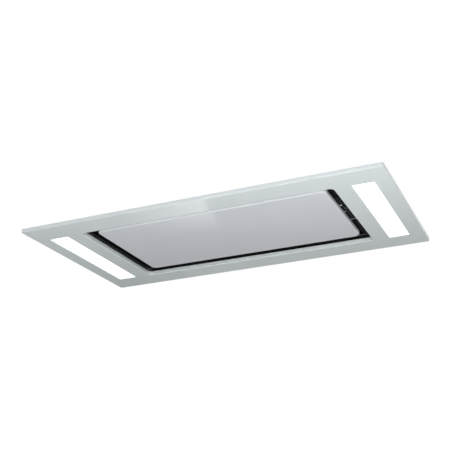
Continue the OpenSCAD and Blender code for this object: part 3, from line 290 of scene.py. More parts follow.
def tint_node(tree, mask, first, second):
    """A colour between two, by a mask"""
    node = tree.nodes.new("ShaderNodeMix")
    node.data_type = "RGBA"
    tree.links.new(mask, node.inputs["Factor"])
    for label, value in (("A", first), ("B", second)):
        socket = [s for s in node.inputs if s.name == label and s.type == "RGBA"][0]
        if isinstance(value, bpy.types.NodeSocket):
            tree.links.new(value, socket)
        else:
            socket.default_value = (*value, 1)
    return [s for s in node.outputs if s.type == "RGBA"][0]


def build_orange_peel():
    """Fine waviness and slight mottling of sprayed enamel"""
    group, source, sink = new_group(
        "Sprayed enamel surface",
        [("Peel scale", "NodeSocketFloat", 420.0), ("Cloud scale", "NodeSocketFloat", 9.0)],
        [("Height", "NodeSocketFloat"), ("Cloud", "NodeSocketFloat"), ("Speck", "NodeSocketFloat")])
    place = object_coordinates(group)
    peel = noise_node(group, place, source.outputs["Peel scale"], 1.5, 0.45)
    cloud = noise_node(group, place, source.outputs["Cloud scale"], 3.0, 0.55)
    speck = noise_node(group, place, 1400.0, 1.0, 0.5)
    group.links.new(peel, sink.inputs["Height"])
    group.links.new(cloud, sink.inputs["Cloud"])
    group.links.new(range_node(group, speck, 0.68, 0.80, 0.0, 1.0), sink.inputs["Speck"])
    return group


def build_zinc_spangle():
    """Crystals of hot-dip zinc: cells of different brightness with fine borders"""
    group, source, sink = new_group(
        "Zinc spangle",
        [("Crystal scale", "NodeSocketFloat", 60.0)],
        [("Crystal", "NodeSocketFloat"), ("Border", "NodeSocketFloat")])
    place = object_coordinates(group)
    warp = group.nodes.new("ShaderNodeTexNoise")
    warp.inputs["Scale"].default_value = 25.0
    group.links.new(place, warp.inputs["Vector"])
    shift = group.nodes.new("ShaderNodeVectorMath")
    shift.operation = "MULTIPLY_ADD"
    shift.inputs[1].default_value = (0.012, 0.012, 0.012)
    group.links.new(warp.outputs["Color"], shift.inputs[0])
    group.links.new(place, shift.inputs[2])
    cells = group.nodes.new("ShaderNodeTexVoronoi")
    group.links.new(shift.outputs[0], cells.inputs["Vector"])
    group.links.new(source.outputs["Crystal scale"], cells.inputs["Scale"])
    split = group.nodes.new("ShaderNodeSeparateColor")
    group.links.new(cells.outputs["Color"], split.inputs["Color"])
    border = group.nodes.new("ShaderNodeTexVoronoi")
    border.feature = "DISTANCE_TO_EDGE"
    group.links.new(shift.outputs[0], border.inputs["Vector"])
    group.links.new(source.outputs["Crystal scale"], border.inputs["Scale"])
    group.links.new(split.outputs[0], sink.inputs["Crystal"])
    group.links.new(range_node(group, border.outputs["Distance"], 0.0, 0.05, 1.0, 0.0),
                    sink.inputs["Border"])
    return group


def build_brushed_grain():
    """Fine lines of rolled or brushed metal along X"""
    group, source, sink = new_group(
        "Brushed grain",
        [("Lines", "NodeSocketFloat", 900.0)],
        [("Grain", "NodeSocketFloat"), ("Stain", "NodeSocketFloat")])
    place = object_coordinates(group, (0.02, 1.0, 1.0))
    grain = noise_node(group, place, source.outputs["Lines"], 2.0, 0.6)
    stain = noise_node(group, object_coordinates(group), 14.0, 4.0, 0.6)
    group.links.new(grain, sink.inputs["Grain"])
    group.links.new(stain, sink.inputs["Stain"])
    return group


def build_edge_wear_and_highlight():
    """Soft edge normal and a mask of the edge, which marks wear and, on enamel, a painted highlight
    """
    group, source, sink = new_group(
        "Soft edge for wear and highlight",
        [("Radius", "NodeSocketFloat", 0.0006), ("Break-up", "NodeSocketFloat", 90.0)],
        [("Edge", "NodeSocketFloat"), ("Normal", "NodeSocketVector")])
    bevel = group.nodes.new("ShaderNodeBevel")
    bevel.samples = 4
    group.links.new(source.outputs["Radius"], bevel.inputs["Radius"])
    flat = group.nodes.new("ShaderNodeNewGeometry")
    dot = group.nodes.new("ShaderNodeVectorMath")
    dot.operation = "DOT_PRODUCT"
    group.links.new(bevel.outputs["Normal"], dot.inputs[0])
    group.links.new(flat.outputs["Normal"], dot.inputs[1])
    edge = range_node(group, dot.outputs["Value"], 0.98, 0.78, 0.0, 1.0)
    broken = noise_node(group, object_coordinates(group), source.outputs["Break-up"], 3.0, 0.6)
    worn_and_highlit = math_node(group, "MULTIPLY", edge, range_node(group, broken, 0.35, 0.65, 0.3, 1.0))
    group.links.new(worn_and_highlit, sink.inputs["Edge"])
    group.links.new(bevel.outputs["Normal"], sink.inputs["Normal"])
    return group


def build_settled_dust():
    """Dust on faces that look up, broken up by noise"""
    group, source, sink = new_group(
        "Settled dust",
        [("Amount", "NodeSocketFloat", 0.3)],
        [("Dust", "NodeSocketFloat")])
    geometry = group.nodes.new("ShaderNodeNewGeometry")
    split = group.nodes.new("ShaderNodeSeparateXYZ")
    group.links.new(geometry.outputs["Normal"], split.inputs[0])
    up = range_node(group, split.outputs["Z"], 0.3, 0.95, 0.0, 1.0)
    cloud = noise_node(group, object_coordinates(group), 22.0, 5.0, 0.65)
    patch = range_node(group, cloud, 0.35, 0.7, 0.2, 1.0)
    dust = math_node(group, "MULTIPLY", math_node(group, "MULTIPLY", up, patch),
                     source.outputs["Amount"])
    group.links.new(dust, sink.inputs["Dust"])
    return group


def build_rolled_edge():
    """Mask of the rolled edges of a tray: faces between looking down and looking sideways"""
    group, source, sink = new_group(
        "Rolled edge",
        [("Flat", "NodeSocketFloat", 0.97)],
        [("Rolled", "NodeSocketFloat")])
    coordinates = group.nodes.new("ShaderNodeTexCoord")
    split = group.nodes.new("ShaderNodeSeparateXYZ")
    group.links.new(coordinates.outputs["Normal"], split.inputs[0])
    down = math_node(group, "MULTIPLY", split.outputs["Z"], -1.0)
    below = math_node(group, "LESS_THAN", down, source.outputs["Flat"])
    above = range_node(group, down, 0.05, 0.35, 0.0, 1.0)
    group.links.new(math_node(group, "MULTIPLY", below, above), sink.inputs["Rolled"])
    return group


EFFECT_BUILDERS = {
    "peel": build_orange_peel,
    "zinc": build_zinc_spangle,
    "grain": build_brushed_grain,
    "edge": build_edge_wear_and_highlight,
    "dust": build_settled_dust,
    "rolled": build_rolled_edge,
}
effects = {}


def effect(tree, key, **values):
    """Places a shared effect group in a material"""
    if key not in effects:
        effects[key] = EFFECT_BUILDERS[key]()
    node = tree.nodes.new("ShaderNodeGroup")
    node.node_tree = effects[key]
    for label, value in values.items():
        node.inputs[label.replace("_", " ")].default_value = value
    return node


def new_material(name, colour, roughness, metallic=0.0):
    """A material with its Principled shader at plain values"""
    material = bpy.data.materials.new(name)
    material.use_nodes = True
    shader = material.node_tree.nodes["Principled BSDF"]
    shader.inputs["Base Color"].default_value = (*colour, 1)
    shader.inputs["Roughness"].default_value = roughness
    shader.inputs["Metallic"].default_value = metallic
    material.diffuse_color = (*colour, 1)
    return material, material.node_tree, shader


def scaled(colour, share):
    """A colour made brighter or darker"""
    return tuple(min(1.0, channel * share) for channel in colour)


def add_bump(tree, shader, height, distance, strength=1.0, normal=None):
    """Feeds a height through a Bump node"""
    bump = tree.nodes.new("ShaderNodeBump")
    bump.inputs["Strength"].default_value = strength
    bump.inputs["Distance"].default_value = distance
    tree.links.new(height, bump.inputs["Height"])
    if normal is not None:
        tree.links.new(normal, bump.inputs["Normal"])
    tree.links.new(bump.outputs["Normal"], shader.inputs["Normal"])


def enamel(name, colour, roughness, edge_radius, peel=0.00002, rim_highlight=0.0, gloss=0.5):
    """Sprayed and baked enamel, with a painted highlight along its edges"""
    material, tree, shader = new_material(name, colour, roughness)
    surface = effect(tree, "peel")
    edge = effect(tree, "edge", Radius=edge_radius)
    clouded = tint_node(tree, range_node(tree, surface.outputs["Cloud"], 0.3, 0.7, 0.0, 1.0),
                        scaled(colour, 0.985), scaled(colour, 1.012))
    specked = tint_node(tree, math_node(tree, "MULTIPLY", surface.outputs["Speck"], 0.05),
                        clouded, scaled(colour, 0.7))
    # Painted highlight: the enamel is made lighter along its edges and its rolled edges
    edge_highlighted = tint_node(tree, math_node(tree, "MULTIPLY", edge.outputs["Edge"], 0.25),
                       specked, scaled(colour, 1.12))
    if rim_highlight:
        rolled = effect(tree, "rolled")
        edge_highlighted = tint_node(tree, math_node(tree, "MULTIPLY", rolled.outputs["Rolled"], rim_highlight),
                           edge_highlighted, (0.98, 0.99, 1.0))
    tree.links.new(edge_highlighted, shader.inputs["Base Color"])
    tree.links.new(range_node(tree, surface.outputs["Cloud"], 0.2, 0.8, roughness * 0.85,
                              roughness * 1.2), shader.inputs["Roughness"])
    shader.inputs["IOR"].default_value = 1.5
    shader.inputs["Specular IOR Level"].default_value = gloss
    add_bump(tree, shader, surface.outputs["Height"], peel, 0.5, edge.outputs["Normal"])
    return material


def liner_enamel(name, colour, edge_radius):
    """Matt black enamel with painted light: greyer along the foot of the short walls, as if lit
    from the side
    """
    material, tree, shader = new_material(name, colour, 0.6)
    surface = effect(tree, "peel")
    edge = effect(tree, "edge", Radius=edge_radius)
    split = tree.nodes.new("ShaderNodeSeparateXYZ")
    tree.links.new(object_coordinates(tree), split.inputs[0])
    foot = range_node(tree, split.outputs["Z"], LINER_FOOT,
                      LINER_FOOT + LINER_FOOT_FADE, 0.0, 1.0)
    facing = tree.nodes.new("ShaderNodeSeparateXYZ")
    coordinates = tree.nodes.new("ShaderNodeTexCoord")
    tree.links.new(coordinates.outputs["Normal"], facing.inputs[0])
    # Painted light: walls that face along X get a lighter foot, standing in for light from the side
    short_side = math_node(tree, "ABSOLUTE", facing.outputs["X"])
    retinted = tint_node(tree, short_side, scaled(colour, LONG_FOOT_SHARE),
                       scaled(colour, PAINTED_LIGHT_FOOT_SHARE))
    tree.links.new(tint_node(tree, foot, retinted, scaled(colour, UPPER_LINER_SHARE)),
                   shader.inputs["Base Color"])
    tree.links.new(range_node(tree, surface.outputs["Cloud"], 0.2, 0.8, 0.5, 0.7),
                   shader.inputs["Roughness"])
    shader.inputs["Specular IOR Level"].default_value = 0.12
    add_bump(tree, shader, surface.outputs["Height"], 0.00002, 0.5, edge.outputs["Normal"])
    return material


def zinc_sheet(name, colour, edge_radius, dust=0.35, crystal=150.0):
    """Hot-dip galvanised sheet with spangle, worn edges and dust on top"""
    material, tree, shader = new_material(name, colour, 0.42, 1.0)
    zinc = effect(tree, "zinc", Crystal_scale=crystal)
    edge = effect(tree, "edge", Radius=edge_radius)
    settled = effect(tree, "dust", Amount=dust)
    cell = tint_node(tree, zinc.outputs["Crystal"], scaled(colour, 0.95), scaled(colour, 1.04))
    lined = tint_node(tree, math_node(tree, "MULTIPLY", zinc.outputs["Border"], 0.12), cell,
                      scaled(colour, 0.85))
    retinted = tint_node(tree, math_node(tree, "MULTIPLY", edge.outputs["Edge"], 0.5), lined,
                       scaled(colour, 1.35))
    dusty = tint_node(tree, settled.outputs["Dust"], retinted, (0.50, 0.48, 0.45))
    tree.links.new(dusty, shader.inputs["Base Color"])
    rough = math_node(tree, "ADD", range_node(tree, zinc.outputs["Crystal"], 0, 1, 0.40, 0.46),
                      math_node(tree, "MULTIPLY", settled.outputs["Dust"], 0.4), clamp=True)
    tree.links.new(rough, shader.inputs["Roughness"])
    tree.links.new(math_node(tree, "SUBTRACT", 1.0, settled.outputs["Dust"], clamp=True),
                   shader.inputs["Metallic"])
    add_bump(tree, shader, zinc.outputs["Crystal"], 0.00001, 0.2, edge.outputs["Normal"])
    return material


def brushed_metal(name, colour, roughness, edge_radius, lines=900.0, stain=0.10):
    """Rolled or brushed bright metal"""
    material, tree, shader = new_material(name, colour, roughness, 1.0)
    grain = effect(tree, "grain", Lines=lines)
    edge = effect(tree, "edge", Radius=edge_radius)
    lined = tint_node(tree, grain.outputs["Grain"], scaled(colour, 1 - stain), scaled(colour, 1.06))
    stained = tint_node(tree, range_node(tree, grain.outputs["Stain"], 0.45, 0.75, 0.0, 0.35),
                        lined, scaled(colour, 0.82))
    retinted = tint_node(tree, edge.outputs["Edge"], stained, scaled(colour, 1.25))
    tree.links.new(retinted, shader.inputs["Base Color"])
    tree.links.new(range_node(tree, grain.outputs["Grain"], 0.2, 0.8, roughness * 0.8,
                              roughness * 1.25), shader.inputs["Roughness"])
    add_bump(tree, shader, grain.outputs["Grain"], 0.00002, 0.4, edge.outputs["Normal"])
    return material


def moulded_plastic(name, colour, roughness, edge_radius, texture=700.0, wear=0.2):
    """Moulded plastic, rubber or foam with a fine eroded texture"""
    material, tree, shader = new_material(name, colour, roughness)
    surface = effect(tree, "peel", Peel_scale=texture, Cloud_scale=18.0)
    edge = effect(tree, "edge", Radius=edge_radius)
    clouded = tint_node(tree, surface.outputs["Cloud"], scaled(colour, 0.9), scaled(colour, 1.08))
    retinted = tint_node(tree, math_node(tree, "MULTIPLY", edge.outputs["Edge"], wear), clouded,
                       scaled(colour, 1.6))
    tree.links.new(retinted, shader.inputs["Base Color"])
    tree.links.new(range_node(tree, surface.outputs["Cloud"], 0.2, 0.8, roughness * 0.85,
                              min(1.0, roughness * 1.15)), shader.inputs["Roughness"])
    add_bump(tree, shader, surface.outputs["Height"], 0.00004, 0.6, edge.outputs["Normal"])
    return material


def opal_light(name, strength):
    """Opal acrylic lit evenly from behind, with a faint cloudy tone"""
    material, tree, shader = new_material(name, (0.93, 0.94, 0.94), 0.35)
    surface = effect(tree, "peel", Peel_scale=900.0, Cloud_scale=5.0)
    glow = tint_node(tree, surface.outputs["Cloud"], (0.985, 0.99, 1.0), (1.0, 1.0, 1.0))
    tree.links.new(glow, shader.inputs["Emission Color"])
    shader.inputs["Emission Strength"].default_value = strength
    add_bump(tree, shader, surface.outputs["Height"], 0.00001, 0.3)
    return material


def clear_plastic(name, colour):
    """Clear moulded lens"""
    material, tree, shader = new_material(name, colour, 0.08)
    surface = effect(tree, "peel", Peel_scale=500.0)
    tree.links.new(tint_node(tree, surface.outputs["Cloud"], scaled(colour, 0.95), colour),
                   shader.inputs["Base Color"])
    shader.inputs["IOR"].default_value = 1.49
    shader.inputs["Coat Weight"].default_value = 0.5
    add_bump(tree, shader, surface.outputs["Height"], 0.00001, 0.3)
    return material


def circuit_laminate(name, colour):
    """Green solder mask over copper tracks"""
    material, tree, shader = new_material(name, colour, 0.28)
    tracks = tree.nodes.new("ShaderNodeTexBrick")
    tree.links.new(object_coordinates(tree, (1, 1, 0)), tracks.inputs["Vector"])
    tracks.inputs["Scale"].default_value = 90.0
    tracks.inputs["Mortar Size"].default_value = 0.06
    tracks.inputs["Color1"].default_value = (*scaled(colour, 1.5), 1)
    tracks.inputs["Color2"].default_value = (*scaled(colour, 1.2), 1)
    tracks.inputs["Mortar"].default_value = (*scaled(colour, 0.7), 1)
    tree.links.new(tracks.outputs["Color"], shader.inputs["Base Color"])
    add_bump(tree, shader, tracks.outputs["Fac"], 0.00004, 0.5)
    return material


# Mesh helpers


def deselect_all():
    """Leaves nothing selected"""
    bpy.ops.object.select_all(action="DESELECT")


def take(name):
    """Names the primitive that was just added"""
    piece = bpy.context.active_object
    piece.name = name
    piece.data.name = name
    return piece


def only(*pieces):
    """Selects these objects and makes the first active"""
    deselect_all()
    for piece in pieces:
        piece.select_set(True)
    bpy.context.view_layer.objects.active = pieces[0]


def select_faces(piece, wanted):
    """In edit mode, selects the faces for which wanted(face) holds"""
    bpy.ops.mesh.select_mode(type="FACE")
    bpy.ops.mesh.select_all(action="DESELECT")
    mesh = bmesh.from_edit_mesh(piece.data)
    for face in mesh.faces:
        if wanted(face):
            face.select_set(True)
    bmesh.update_edit_mesh(piece.data)


def apply_modifiers(piece):
    """Applies every modifier in order"""
    only(piece)
    for modifier in list(piece.modifiers):
        bpy.ops.object.modifier_apply(modifier=modifier.name)


def copies(model, places, name):
    """Copies a modelled shape to each matrix and joins the copies into one piece"""
    made = []
    for place in places:
        copy = model.copy()
        copy.data = model.data.copy()
        bpy.context.scene.collection.objects.link(copy)
        copy.data.transform(place)
        made.append(copy)
    bpy.data.objects.remove(model)
    only(*made)
    bpy.ops.object.join()
    return take(name)


def finish_piece(piece, body, material, smooth=30.0, replaced=()):
    """Applies the place, tidies the normals, dresses the piece and sets it on its body"""
    only(piece)
    bpy.ops.object.transform_apply(location=True, rotation=True, scale=True)
    bpy.ops.object.mode_set(mode="EDIT")
    bpy.ops.mesh.select_all(action="SELECT")
    bpy.ops.mesh.remove_doubles(threshold=DOUBLE_REACH)
    bpy.ops.mesh.normals_make_consistent(inside=False)
    bpy.ops.object.mode_set(mode="OBJECT")
    bpy.ops.object.shade_smooth_by_angle(angle=math.radians(smooth))
    piece.data.materials.clear()
    piece.data.materials.append(material)
    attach(piece, body)
    if replaced:
        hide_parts(*replaced)
    return piece


def box_of(node):
    """Lowest corner, highest corner and middle of a node at rest"""
    low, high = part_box(node)
    return low, high, (low + high) / 2


# Stage


def look_at(thing, target):
    """Turns a lamp so that it points at a place"""
    thing.rotation_euler = (Vector(target) - thing.location).to_track_quat("-Z", "Y").to_euler()


def area_lamp(name, lamp_set, power):
    """A soft rectangular lamp"""
    place, target, size = lamp_set
    data = bpy.data.lights.new(name, "AREA")
    data.shape = "RECTANGLE"
    data.size, data.size_y = size
    data.energy = power
    lamp = bpy.data.objects.new(name, data)
    bpy.context.scene.collection.objects.link(lamp)
    lamp.location = place
    look_at(lamp, target)
    lamp.visible_camera = False
    return lamp


def seen_ray(tree):
    """One for camera, mirror and glass rays, zero for the rest"""
    path = tree.nodes.new("ShaderNodeLightPath")
    return math_node(tree, "MAXIMUM", path.outputs["Is Camera Ray"],
                     math_node(tree, "MAXIMUM", path.outputs["Is Glossy Ray"],
                               path.outputs["Is Transmission Ray"]))


def one_sided(tree, front):
    """Shows a shader from its face side only"""
    side = tree.nodes.new("ShaderNodeNewGeometry")
    clear = tree.nodes.new("ShaderNodeBsdfTransparent")
    mix = tree.nodes.new("ShaderNodeMixShader")
    tree.links.new(side.outputs["Backfacing"], mix.inputs[0])
    tree.links.new(front, mix.inputs[1])
    tree.links.new(clear.outputs[0], mix.inputs[2])
    tree.links.new(mix.outputs[0], tree.nodes["Material Output"].inputs["Surface"])


def white_backdrop_world(fill):
    """White to camera, mirror and glass rays, an even fill to the rest"""
    world = bpy.data.worlds.new("White studio")
    bpy.context.scene.world = world
    world.use_nodes = True
    tree = world.node_tree
    background = tree.nodes["Background"]
    background.inputs["Color"].default_value = (1, 1, 1, 1)
    tree.links.new(range_node(tree, seen_ray(tree), 0.0, 1.0, fill, 1.0),
                   background.inputs["Strength"])


class HOOD_OT_stage(bpy.types.Operator):
    """Camera, soft lamps, pale floor and the white ceiling that hides the housing from below"""

    bl_idname = "hood.stage"
    bl_label = "Stage"

    def execute(self, context):
        settings = context.scene.hood_stage
        camera_data = bpy.data.cameras.new("Camera")
        camera_data.sensor_width = 36
        camera_data.lens = settings.camera_lens
        camera = bpy.data.objects.new("Camera", camera_data)
        context.scene.collection.objects.link(camera)
        camera.location = settings.camera_place
        camera.rotation_euler = settings.camera_turn
        context.scene.camera = camera
        context.scene.view_settings.view_transform = "Standard"
        white_backdrop_world(settings.fill_strength)
        area_lamp("Front lamp", FRONT_LAMP, settings.front_power)
        near_lamp = area_lamp("Near lamp", NEAR_LAMP, settings.near_power)
        near_lamp.visible_glossy = False
        area_lamp("Left lamp", LEFT_LAMP, settings.left_power)
        area_lamp("Top lamp", TOP_LAMP, settings.top_power)
        self.add_card("stage_near_card", NEAR_CARD, settings.near_card_strength)
        self.add_card("stage_far_card", FAR_CARD, settings.far_card_strength)
        self.add_floor(settings.floor_strength)
        self.add_ceiling()
        return {"FINISHED"}

    def add_card(self, name, card_set, strength):
        """A card below the hood that only reflections show, fading from its sharp edge"""
        middle, size, fade = card_set
        deselect_all()
        bpy.ops.mesh.primitive_plane_add(size=1, location=(*middle, CARD_LEVEL),
                                         rotation=(0, 0, CARD_TURN))
        card = take(name)
        card.scale = (*size, 1)
        bpy.ops.object.transform_apply(location=True, rotation=True, scale=True)
        material = bpy.data.materials.new(name.replace("_", " "))
        material.use_nodes = True
        tree = material.node_tree
        tree.nodes.clear()
        out = tree.nodes.new("ShaderNodeOutputMaterial")
        glow = tree.nodes.new("ShaderNodeEmission")
        coordinates = tree.nodes.new("ShaderNodeTexCoord")
        split = tree.nodes.new("ShaderNodeSeparateXYZ")
        tree.links.new(coordinates.outputs["Object"], split.inputs[0])
        across = range_node(tree, split.outputs["X"], fade[0], fade[1], 0.0, 1.0)
        along = range_node(tree, split.outputs["Y"], fade[2], fade[3], 0.0, 1.0)
        shade = math_node(tree, "MULTIPLY", across, along)
        tree.links.new(math_node(tree, "MULTIPLY", shade, strength), glow.inputs["Strength"])
        clear = tree.nodes.new("ShaderNodeBsdfTransparent")
        both = tree.nodes.new("ShaderNodeAddShader")
        tree.links.new(glow.outputs[0], both.inputs[0])
        tree.links.new(clear.outputs[0], both.inputs[1])
        tree.links.new(both.outputs[0], out.inputs["Surface"])
        card.data.materials.append(material)
        card.visible_camera = False
        card.visible_diffuse = False
        card.visible_shadow = False

    def add_floor(self, glow_strength):
        """A pale floor that keeps the hood's shadow and is clear from underneath"""
        deselect_all()
        bpy.ops.mesh.primitive_circle_add(vertices=96, radius=FLOOR_RADIUS, fill_type="NGON",
                                          location=(0, 0, FLOOR_LEVEL))
        floor = take("stage_floor")
        material, tree, shader = new_material("Pale floor", (0.86, 0.86, 0.86), 0.9)
        grain = effect(tree, "peel", Peel_scale=30.0, Cloud_scale=0.6)
        tree.links.new(tint_node(tree, grain.outputs["Cloud"], (0.85, 0.85, 0.85),
                                 (0.87, 0.87, 0.87)), shader.inputs["Base Color"])
        glow = tree.nodes.new("ShaderNodeEmission")
        path = tree.nodes.new("ShaderNodeLightPath")
        away = tree.nodes.new("ShaderNodeVectorMath")
        away.operation = "LENGTH"
        tree.links.new(object_coordinates(tree), away.inputs[0])
        pale = range_node(tree, away.outputs["Value"], FLOOR_GLOW_FROM, FLOOR_GLOW_TO,
                          glow_strength, 1.0)
        tree.links.new(math_node(tree, "MULTIPLY", path.outputs["Is Camera Ray"], pale),
                       glow.inputs["Strength"])
        lit = tree.nodes.new("ShaderNodeAddShader")
        tree.links.new(shader.outputs[0], lit.inputs[0])
        tree.links.new(glow.outputs[0], lit.inputs[1])
        one_sided(tree, lit.outputs[0])
        floor.data.materials.append(material)

    def add_ceiling(self):
        """A one-sided white card round the fascia. It is seen from below and clear from above."""
        deselect_all()
        low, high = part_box("fascia")
        spread = 2 * (CEILING_REACH - CEILING_INSET)
        bpy.ops.mesh.primitive_plane_add(size=1, location=(0, 0, high.z - CEILING_DROP))
        card = take("stage_ceiling")
        card.scale = (high.x - low.x + spread, high.y - low.y + spread, 1)
        bpy.ops.object.transform_apply(location=True, rotation=False, scale=True)
        bpy.ops.object.mode_set(mode="EDIT")
        bpy.ops.mesh.select_all(action="SELECT")
        bpy.ops.mesh.flip_normals()
        bpy.ops.mesh.inset(thickness=CEILING_REACH, depth=0)
        select_faces(card, lambda face: face.calc_center_median().xy.length < CEILING_INSET)
        bpy.ops.mesh.delete(type="FACE")
        bpy.ops.object.mode_set(mode="OBJECT")
        material = bpy.data.materials.new("White ceiling")
        material.use_nodes = True
        tree = material.node_tree
        tree.nodes.clear()
        out = tree.nodes.new("ShaderNodeOutputMaterial")
        clear = tree.nodes.new("ShaderNodeBsdfTransparent")
        white = tree.nodes.new("ShaderNodeEmission")
        white.inputs["Strength"].default_value = 1.0
        path = tree.nodes.new("ShaderNodeLightPath")
        side = tree.nodes.new("ShaderNodeNewGeometry")
        front = math_node(tree, "SUBTRACT", 1.0, side.outputs["Backfacing"])
        shown = math_node(tree, "MULTIPLY", path.outputs["Is Camera Ray"], front)
        mix = tree.nodes.new("ShaderNodeMixShader")
        tree.links.new(shown, mix.inputs[0])
        tree.links.new(clear.outputs[0], mix.inputs[1])
        tree.links.new(white.outputs[0], mix.inputs[2])
        tree.links.new(mix.outputs[0], out.inputs["Surface"])
        card.data.materials.append(material)
        card.visible_shadow = False
        card.visible_diffuse = False
        card.visible_glossy = False


# Finishes


def build_finishes(settings):
    """One material for each finish slot of the record"""
    edge = settings.edge_radius
    zinc = tuple(settings.sheet_colour)
    dark = tuple(settings.dark_colour)
    aluminium = tuple(settings.aluminium_colour)
    return {
        "white_enamel": enamel("White enamel", tuple(settings.fascia_colour),
                               settings.enamel_roughness, edge),
        "panel_enamel": enamel("Panel enamel", tuple(settings.panel_colour),
                               settings.enamel_roughness, edge, rim_highlight=0.1),
        "dark_enamel": liner_enamel("Liner enamel", dark, edge),
        "opal_diffuser": opal_light("Lit opal", settings.light_strength),
        "galvanised_sheet": zinc_sheet("Galvanised sheet", zinc, edge),
        "spring_steel": brushed_metal("Spring steel", (0.50, 0.51, 0.53), 0.32, edge),
        "bright_steel": brushed_metal("Bright steel", (0.72, 0.73, 0.75), 0.20, edge),
        "filter_aluminium": brushed_metal("Filter aluminium", aluminium, 0.34, edge, 600.0),
        "gasket_foam": moulded_plastic("Gasket foam", (0.10, 0.10, 0.105), 0.95, 0.0004, 1500.0),
        "grommet_rubber": moulded_plastic("Grommet rubber", (0.02, 0.02, 0.02), 0.7, 0.0008),
        "ferrite": moulded_plastic("Ferrite", (0.10, 0.10, 0.11), 0.6, 0.0004, 1100.0, 0.4),
        "control_gloss": enamel("Control gloss", (0.006, 0.006, 0.008), 0.2, 0.0003, 0.000005,
                                gloss=0.06),
        "control_dark": moulded_plastic("Control plastic", (0.03, 0.03, 0.032), 0.5, 0.0006),
        "button_grey": moulded_plastic("Button plastic", (0.06, 0.06, 0.065), 0.35, 0.0005),
        "clear_lens": clear_plastic("Clear lens", (0.86, 0.90, 0.94)),
        "white_plastic": moulded_plastic("White plastic", (0.80, 0.80, 0.78), 0.4, 0.0008),
        "box_plastic": moulded_plastic("Box plastic", (0.66, 0.66, 0.64), 0.5, 0.001),
        "circuit_board": circuit_laminate("Circuit laminate", (0.02, 0.13, 0.05)),
        "motor_shell": enamel("Motor enamel", (0.30, 0.31, 0.33), 0.35, 0.0008),
        "wheel_steel": enamel("Wheel enamel", (0.12, 0.12, 0.13), 0.4, 0.0003),
    }


FINISHES = {}


class HOOD_OT_finishes(bpy.types.Operator):
    """Dresses every carried-over sheet, casting and moulding in its own finish"""

    bl_idname = "hood.finishes"
    bl_label = "Finishes"

    def execute(self, context):
        FINISHES.update(build_finishes(context.scene.hood_finish))
        slots = {part["node"]: part["material_slot"] for part in frame["record"]["subparts"]}
        own = {"panel_skin": "panel_enamel"}
        for name, node in HOOD_NODES.items():
            material = FINISHES[own.get(name, slots[name])]
            if not node.material_slots:
                node.data.materials.append(material)
            for place in node.material_slots:
                place.material = material
        return {"FINISHED"}


# Fittings


class HOOD_OT_filter_weave(bpy.types.Operator):
    """Layers of expanded aluminium in each grease filter"""

    bl_idname = "hood.filter_weave"
    bl_label = "Filter weave"

    def execute(self, context):
        for side in ("left", "right"):
            self.weave(context.scene.hood_fitting, side)
        return {"FINISHED"}

    def cell(self, settings, name):
        """One open diamond of the mesh, its strands tipped as the slitting leaves them"""
        deselect_all()
        bpy.ops.mesh.primitive_circle_add(vertices=4, radius=0.5, fill_type="NGON")
        cell = take(name)
        cell.scale = (settings.weave_pitch_x, settings.weave_pitch_y, 1)
        bpy.ops.object.transform_apply(location=False, rotation=True, scale=True)
        bpy.ops.object.mode_set(mode="EDIT")
        bpy.ops.mesh.select_all(action="SELECT")
        bpy.ops.mesh.inset(thickness=settings.strand_width * 0.8, depth=STRAND_TIP)
        bpy.ops.mesh.delete(type="FACE")
        bpy.ops.object.mode_set(mode="OBJECT")
        return cell

    def weave(self, settings, side):
        """Three layers of the mesh, each shifted against the next"""
        low, high, middle = box_of("filter_mesh_" + side)
        width = high.x - low.x
        depth = high.y - low.y
        pitch_x, pitch_y = settings.weave_pitch_x, settings.weave_pitch_y
        columns = int(width / pitch_x) - 1
        rows = int(depth / pitch_y) - 1
        layers = []
        for level, share in enumerate(WEAVE_LAYERS):
            cell = self.cell(settings, "filter_weave_%s_%d" % (side, level))
            for count, offset in ((columns, (pitch_x, 0, 0)), (rows, (0, pitch_y, 0))):
                array = cell.modifiers.new("Array", "ARRAY")
                array.count = count
                array.use_relative_offset = False
                array.use_constant_offset = True
                array.constant_offset_displace = offset
                array.use_merge_vertices = True
                array.merge_threshold = WELD_REACH
            thick = cell.modifiers.new("Solidify", "SOLIDIFY")
            thick.thickness = STRAND_THICKNESS
            apply_modifiers(cell)
            shift = 0.25 * pitch_x * (level % 2)
            cell.location = (
                middle.x - (columns - 1) * pitch_x / 2 + shift,
                middle.y - (rows - 1) * pitch_y / 2 + shift / 2,
                low.z + share * (high.z - low.z))
            layers.append(cell)
        only(*layers)
        bpy.ops.object.join()
        finish_piece(take("filter_weave_" + side), "hood",
                     FINISHES["filter_aluminium"], replaced=("filter_mesh_" + side,))


def rivet_head(settings, name):
    """A blind rivet's domed head with its broken mandrel, modelled round Z"""
    radius = settings.rivet_radius
    deselect_all()
    bpy.ops.mesh.primitive_cylinder_add(vertices=RIVET_SIDES, radius=radius, depth=0.3 * radius,
                                        location=(0, 0, 0.15 * radius))
    head = take(name)
    bpy.ops.object.transform_apply(location=True, rotation=True, scale=True)
    bpy.ops.object.mode_set(mode="EDIT")
    for inset, rise in RIVET_RINGS:
        select_faces(head, lambda face: face.normal.z > 0.9
                     and face.calc_center_median().xy.length < 0.01 * radius)
        bpy.ops.mesh.inset(thickness=inset * radius, depth=rise * radius)
    bpy.ops.object.mode_set(mode="OBJECT")
    return head


